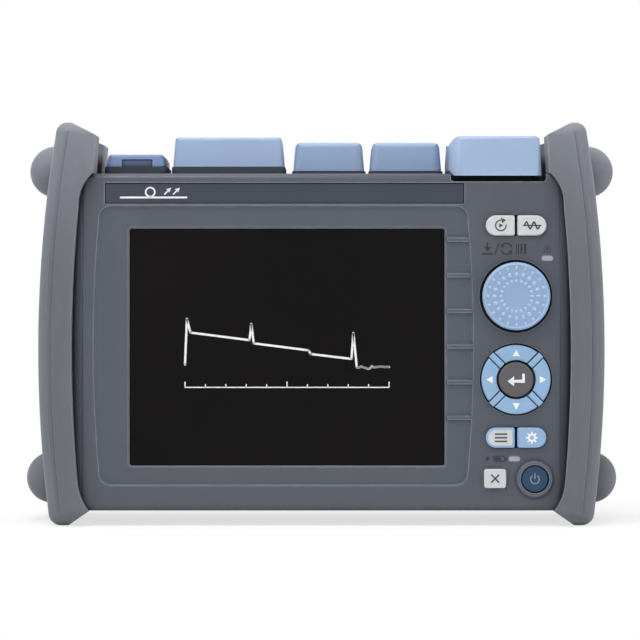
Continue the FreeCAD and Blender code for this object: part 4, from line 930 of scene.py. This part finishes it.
class TESTER_OT_studio(bpy.types.Operator):
    """Sets up the floor, the backdrop, the soft lights and the camera"""
    bl_idname = "tester.studio"
    bl_label = "Studio"

    def execute(self, context):
        sizes = context.scene.tester_sizes
        scene = context.scene
        scene.view_settings.view_transform = "Standard"
        self.world(scene)
        self.floor(scene)
        for name, place, size, power in LIGHTS:
            self.lamp(scene, name, place, size, power)
        self.camera(scene, sizes)
        return {"FINISHED"}

    def world(self, scene):
        """White to the eye and in reflections; as light, dimmer from below than from above."""
        world = bpy.data.worlds.new("studio")
        scene.world = world
        world.use_nodes = True
        tree = world.node_tree
        tree.nodes.clear()
        sky = tree.nodes.new("ShaderNodeTexCoord")
        split = tree.nodes.new("ShaderNodeSeparateXYZ")
        tree.links.new(sky.outputs["Generated"], split.inputs[0])
        below, above = 0.15, 0.36
        light = self.ramp(tree, split.outputs["Z"], -1.0, 1.0, below, above)
        blend = tree.nodes.new("ShaderNodeMix")
        tree.links.new(self.seen_directly(tree), blend.inputs["Factor"])
        tree.links.new(light, blend.inputs["A"])
        blend.inputs["B"].default_value = 1.0
        background = tree.nodes.new("ShaderNodeBackground")
        background.inputs["Color"].default_value = (1.0, 1.0, 1.0, 1.0)
        tree.links.new(blend.outputs["Result"], background.inputs["Strength"])
        out = tree.nodes.new("ShaderNodeOutputWorld")
        tree.links.new(background.outputs[0], out.inputs["Surface"])

    def ramp(self, tree, value, low, high, to_low, to_high):
        """The value, taken from one range to another."""
        node = tree.nodes.new("ShaderNodeMapRange")
        for key, number in (("From Min", low), ("From Max", high), ("To Min", to_low), ("To Max", to_high)):
            node.inputs[key].default_value = number
        tree.links.new(value, node.inputs["Value"])
        return node.outputs["Result"]

    def seen_directly(self, tree):
        """1 for what is seen straight, mirrored or through glass; 0 for light that falls on a surface."""
        path = tree.nodes.new("ShaderNodeLightPath")
        total = path.outputs["Is Camera Ray"]
        for name in ("Is Transmission Ray", "Is Glossy Ray"):
            larger = tree.nodes.new("ShaderNodeMath")
            larger.operation = "MAXIMUM"
            tree.links.new(total, larger.inputs[0])
            tree.links.new(path.outputs[name], larger.inputs[1])
            total = larger.outputs[0]
        return total

    def floor(self, scene):
        """Pale floor that takes a soft shadow near the tester and fades to white away from it."""
        bm = bmesh.new()
        half_width, drop = 30.0, 0.0002
        bmesh.ops.create_grid(bm, x_segments=2, y_segments=2, size=half_width)
        mesh = bpy.data.meshes.new("floor")
        bm.to_mesh(mesh)
        bm.free()
        floor = bpy.data.objects.new("floor", mesh)
        scene.collection.objects.link(floor)
        floor.location.z = -drop
        n = Nodes("floor paint")
        n.shader.inputs["Base Color"].default_value = (0.9, 0.9, 0.9, 1.0)
        n.shader.inputs["Roughness"].default_value = 0.8
        n.shader.inputs["Specular IOR Level"].default_value = 0.1
        far = n.add("ShaderNodeVectorMath", operation="LENGTH")
        n.link(n.place, far.inputs[0])
        near, away = 0.1, 0.36
        white = n.spread(far.outputs["Value"], near, away, 0.7, 1.0)
        share = n.times(white, self.seen_directly(n.tree))
        glow = n.add("ShaderNodeEmission")
        mixed = n.add("ShaderNodeMixShader")
        n.link(share, mixed.inputs[0])
        n.link(n.shader.outputs[0], mixed.inputs[1])
        n.link(glow.outputs[0], mixed.inputs[2])
        n.link(mixed.outputs[0], n.tree.nodes["Material Output"].inputs["Surface"])
        mesh.materials.append(n.material)

    def lamp(self, scene, name, place, size, power):
        """A square soft light, aimed at the tester."""
        data = bpy.data.lights.new(name, "AREA")
        data.energy = power
        data.size = size
        lamp = bpy.data.objects.new(name, data)
        lamp.location = place
        lamp.rotation_euler = (LAMP_TARGET - Vector(place)).to_track_quat("-Z", "Y").to_euler()
        scene.collection.objects.link(lamp)

    def camera(self, scene, sizes):
        """Looks straight at the face; the picture is shifted a little down and to the left."""
        data = bpy.data.cameras.new("camera")
        data.sensor_width = SENSOR
        data.lens = SENSOR * sizes.view_distance / sizes.view_width
        data.clip_start, data.clip_end = 0.01, 20.0
        data.shift_x, data.shift_y = -0.0156, -0.0313
        camera = bpy.data.objects.new("camera", data)
        x, z = VIEW_MIDDLE
        camera.location = (x * MM, FACE_DEPTH * MM - sizes.view_distance, z * MM)
        camera.rotation_euler = (math.radians(90), 0, 0)
        scene.collection.objects.link(camera)
        scene.camera = camera


class TESTER_PT_panel(bpy.types.Panel):
    """Steps that dress the tester"""
    bl_idname = "TESTER_PT_panel"
    bl_label = "Fibre tester"
    bl_space_type = "VIEW_3D"
    bl_region_type = "UI"
    bl_category = "Fibre tester"

    def draw(self, context):
        layout = self.layout
        colours, sizes = shown(context)
        for group in (colours, sizes):
            box = layout.box()
            for key in group.__annotations__:
                box.prop(group, key)
        for step in STEPS:
            layout.operator(step.bl_idname)


STEPS = (TESTER_OT_case, TESTER_OT_guards, TESTER_OT_ports, TESTER_OT_keys, TESTER_OT_knob, TESTER_OT_face,
         TESTER_OT_hardware, TESTER_OT_edges, TESTER_OT_studio)
CLASSES = (TesterColours, TesterSizes) + STEPS + (TESTER_PT_panel,)


def register():
    for cls in CLASSES:
        bpy.utils.register_class(cls)
    bpy.types.Scene.tester_colours = PointerProperty(type=TesterColours)
    bpy.types.Scene.tester_sizes = PointerProperty(type=TesterSizes)


def unregister():
    del bpy.types.Scene.tester_colours
    del bpy.types.Scene.tester_sizes
    for cls in reversed(CLASSES):
        bpy.utils.unregister_class(cls)


def main():
    """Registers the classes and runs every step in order."""
    register()
    for step in STEPS:
        group, name = step.bl_idname.split(".")
        getattr(getattr(bpy.ops, group), name)()


if __name__ == "__main__":
    main()
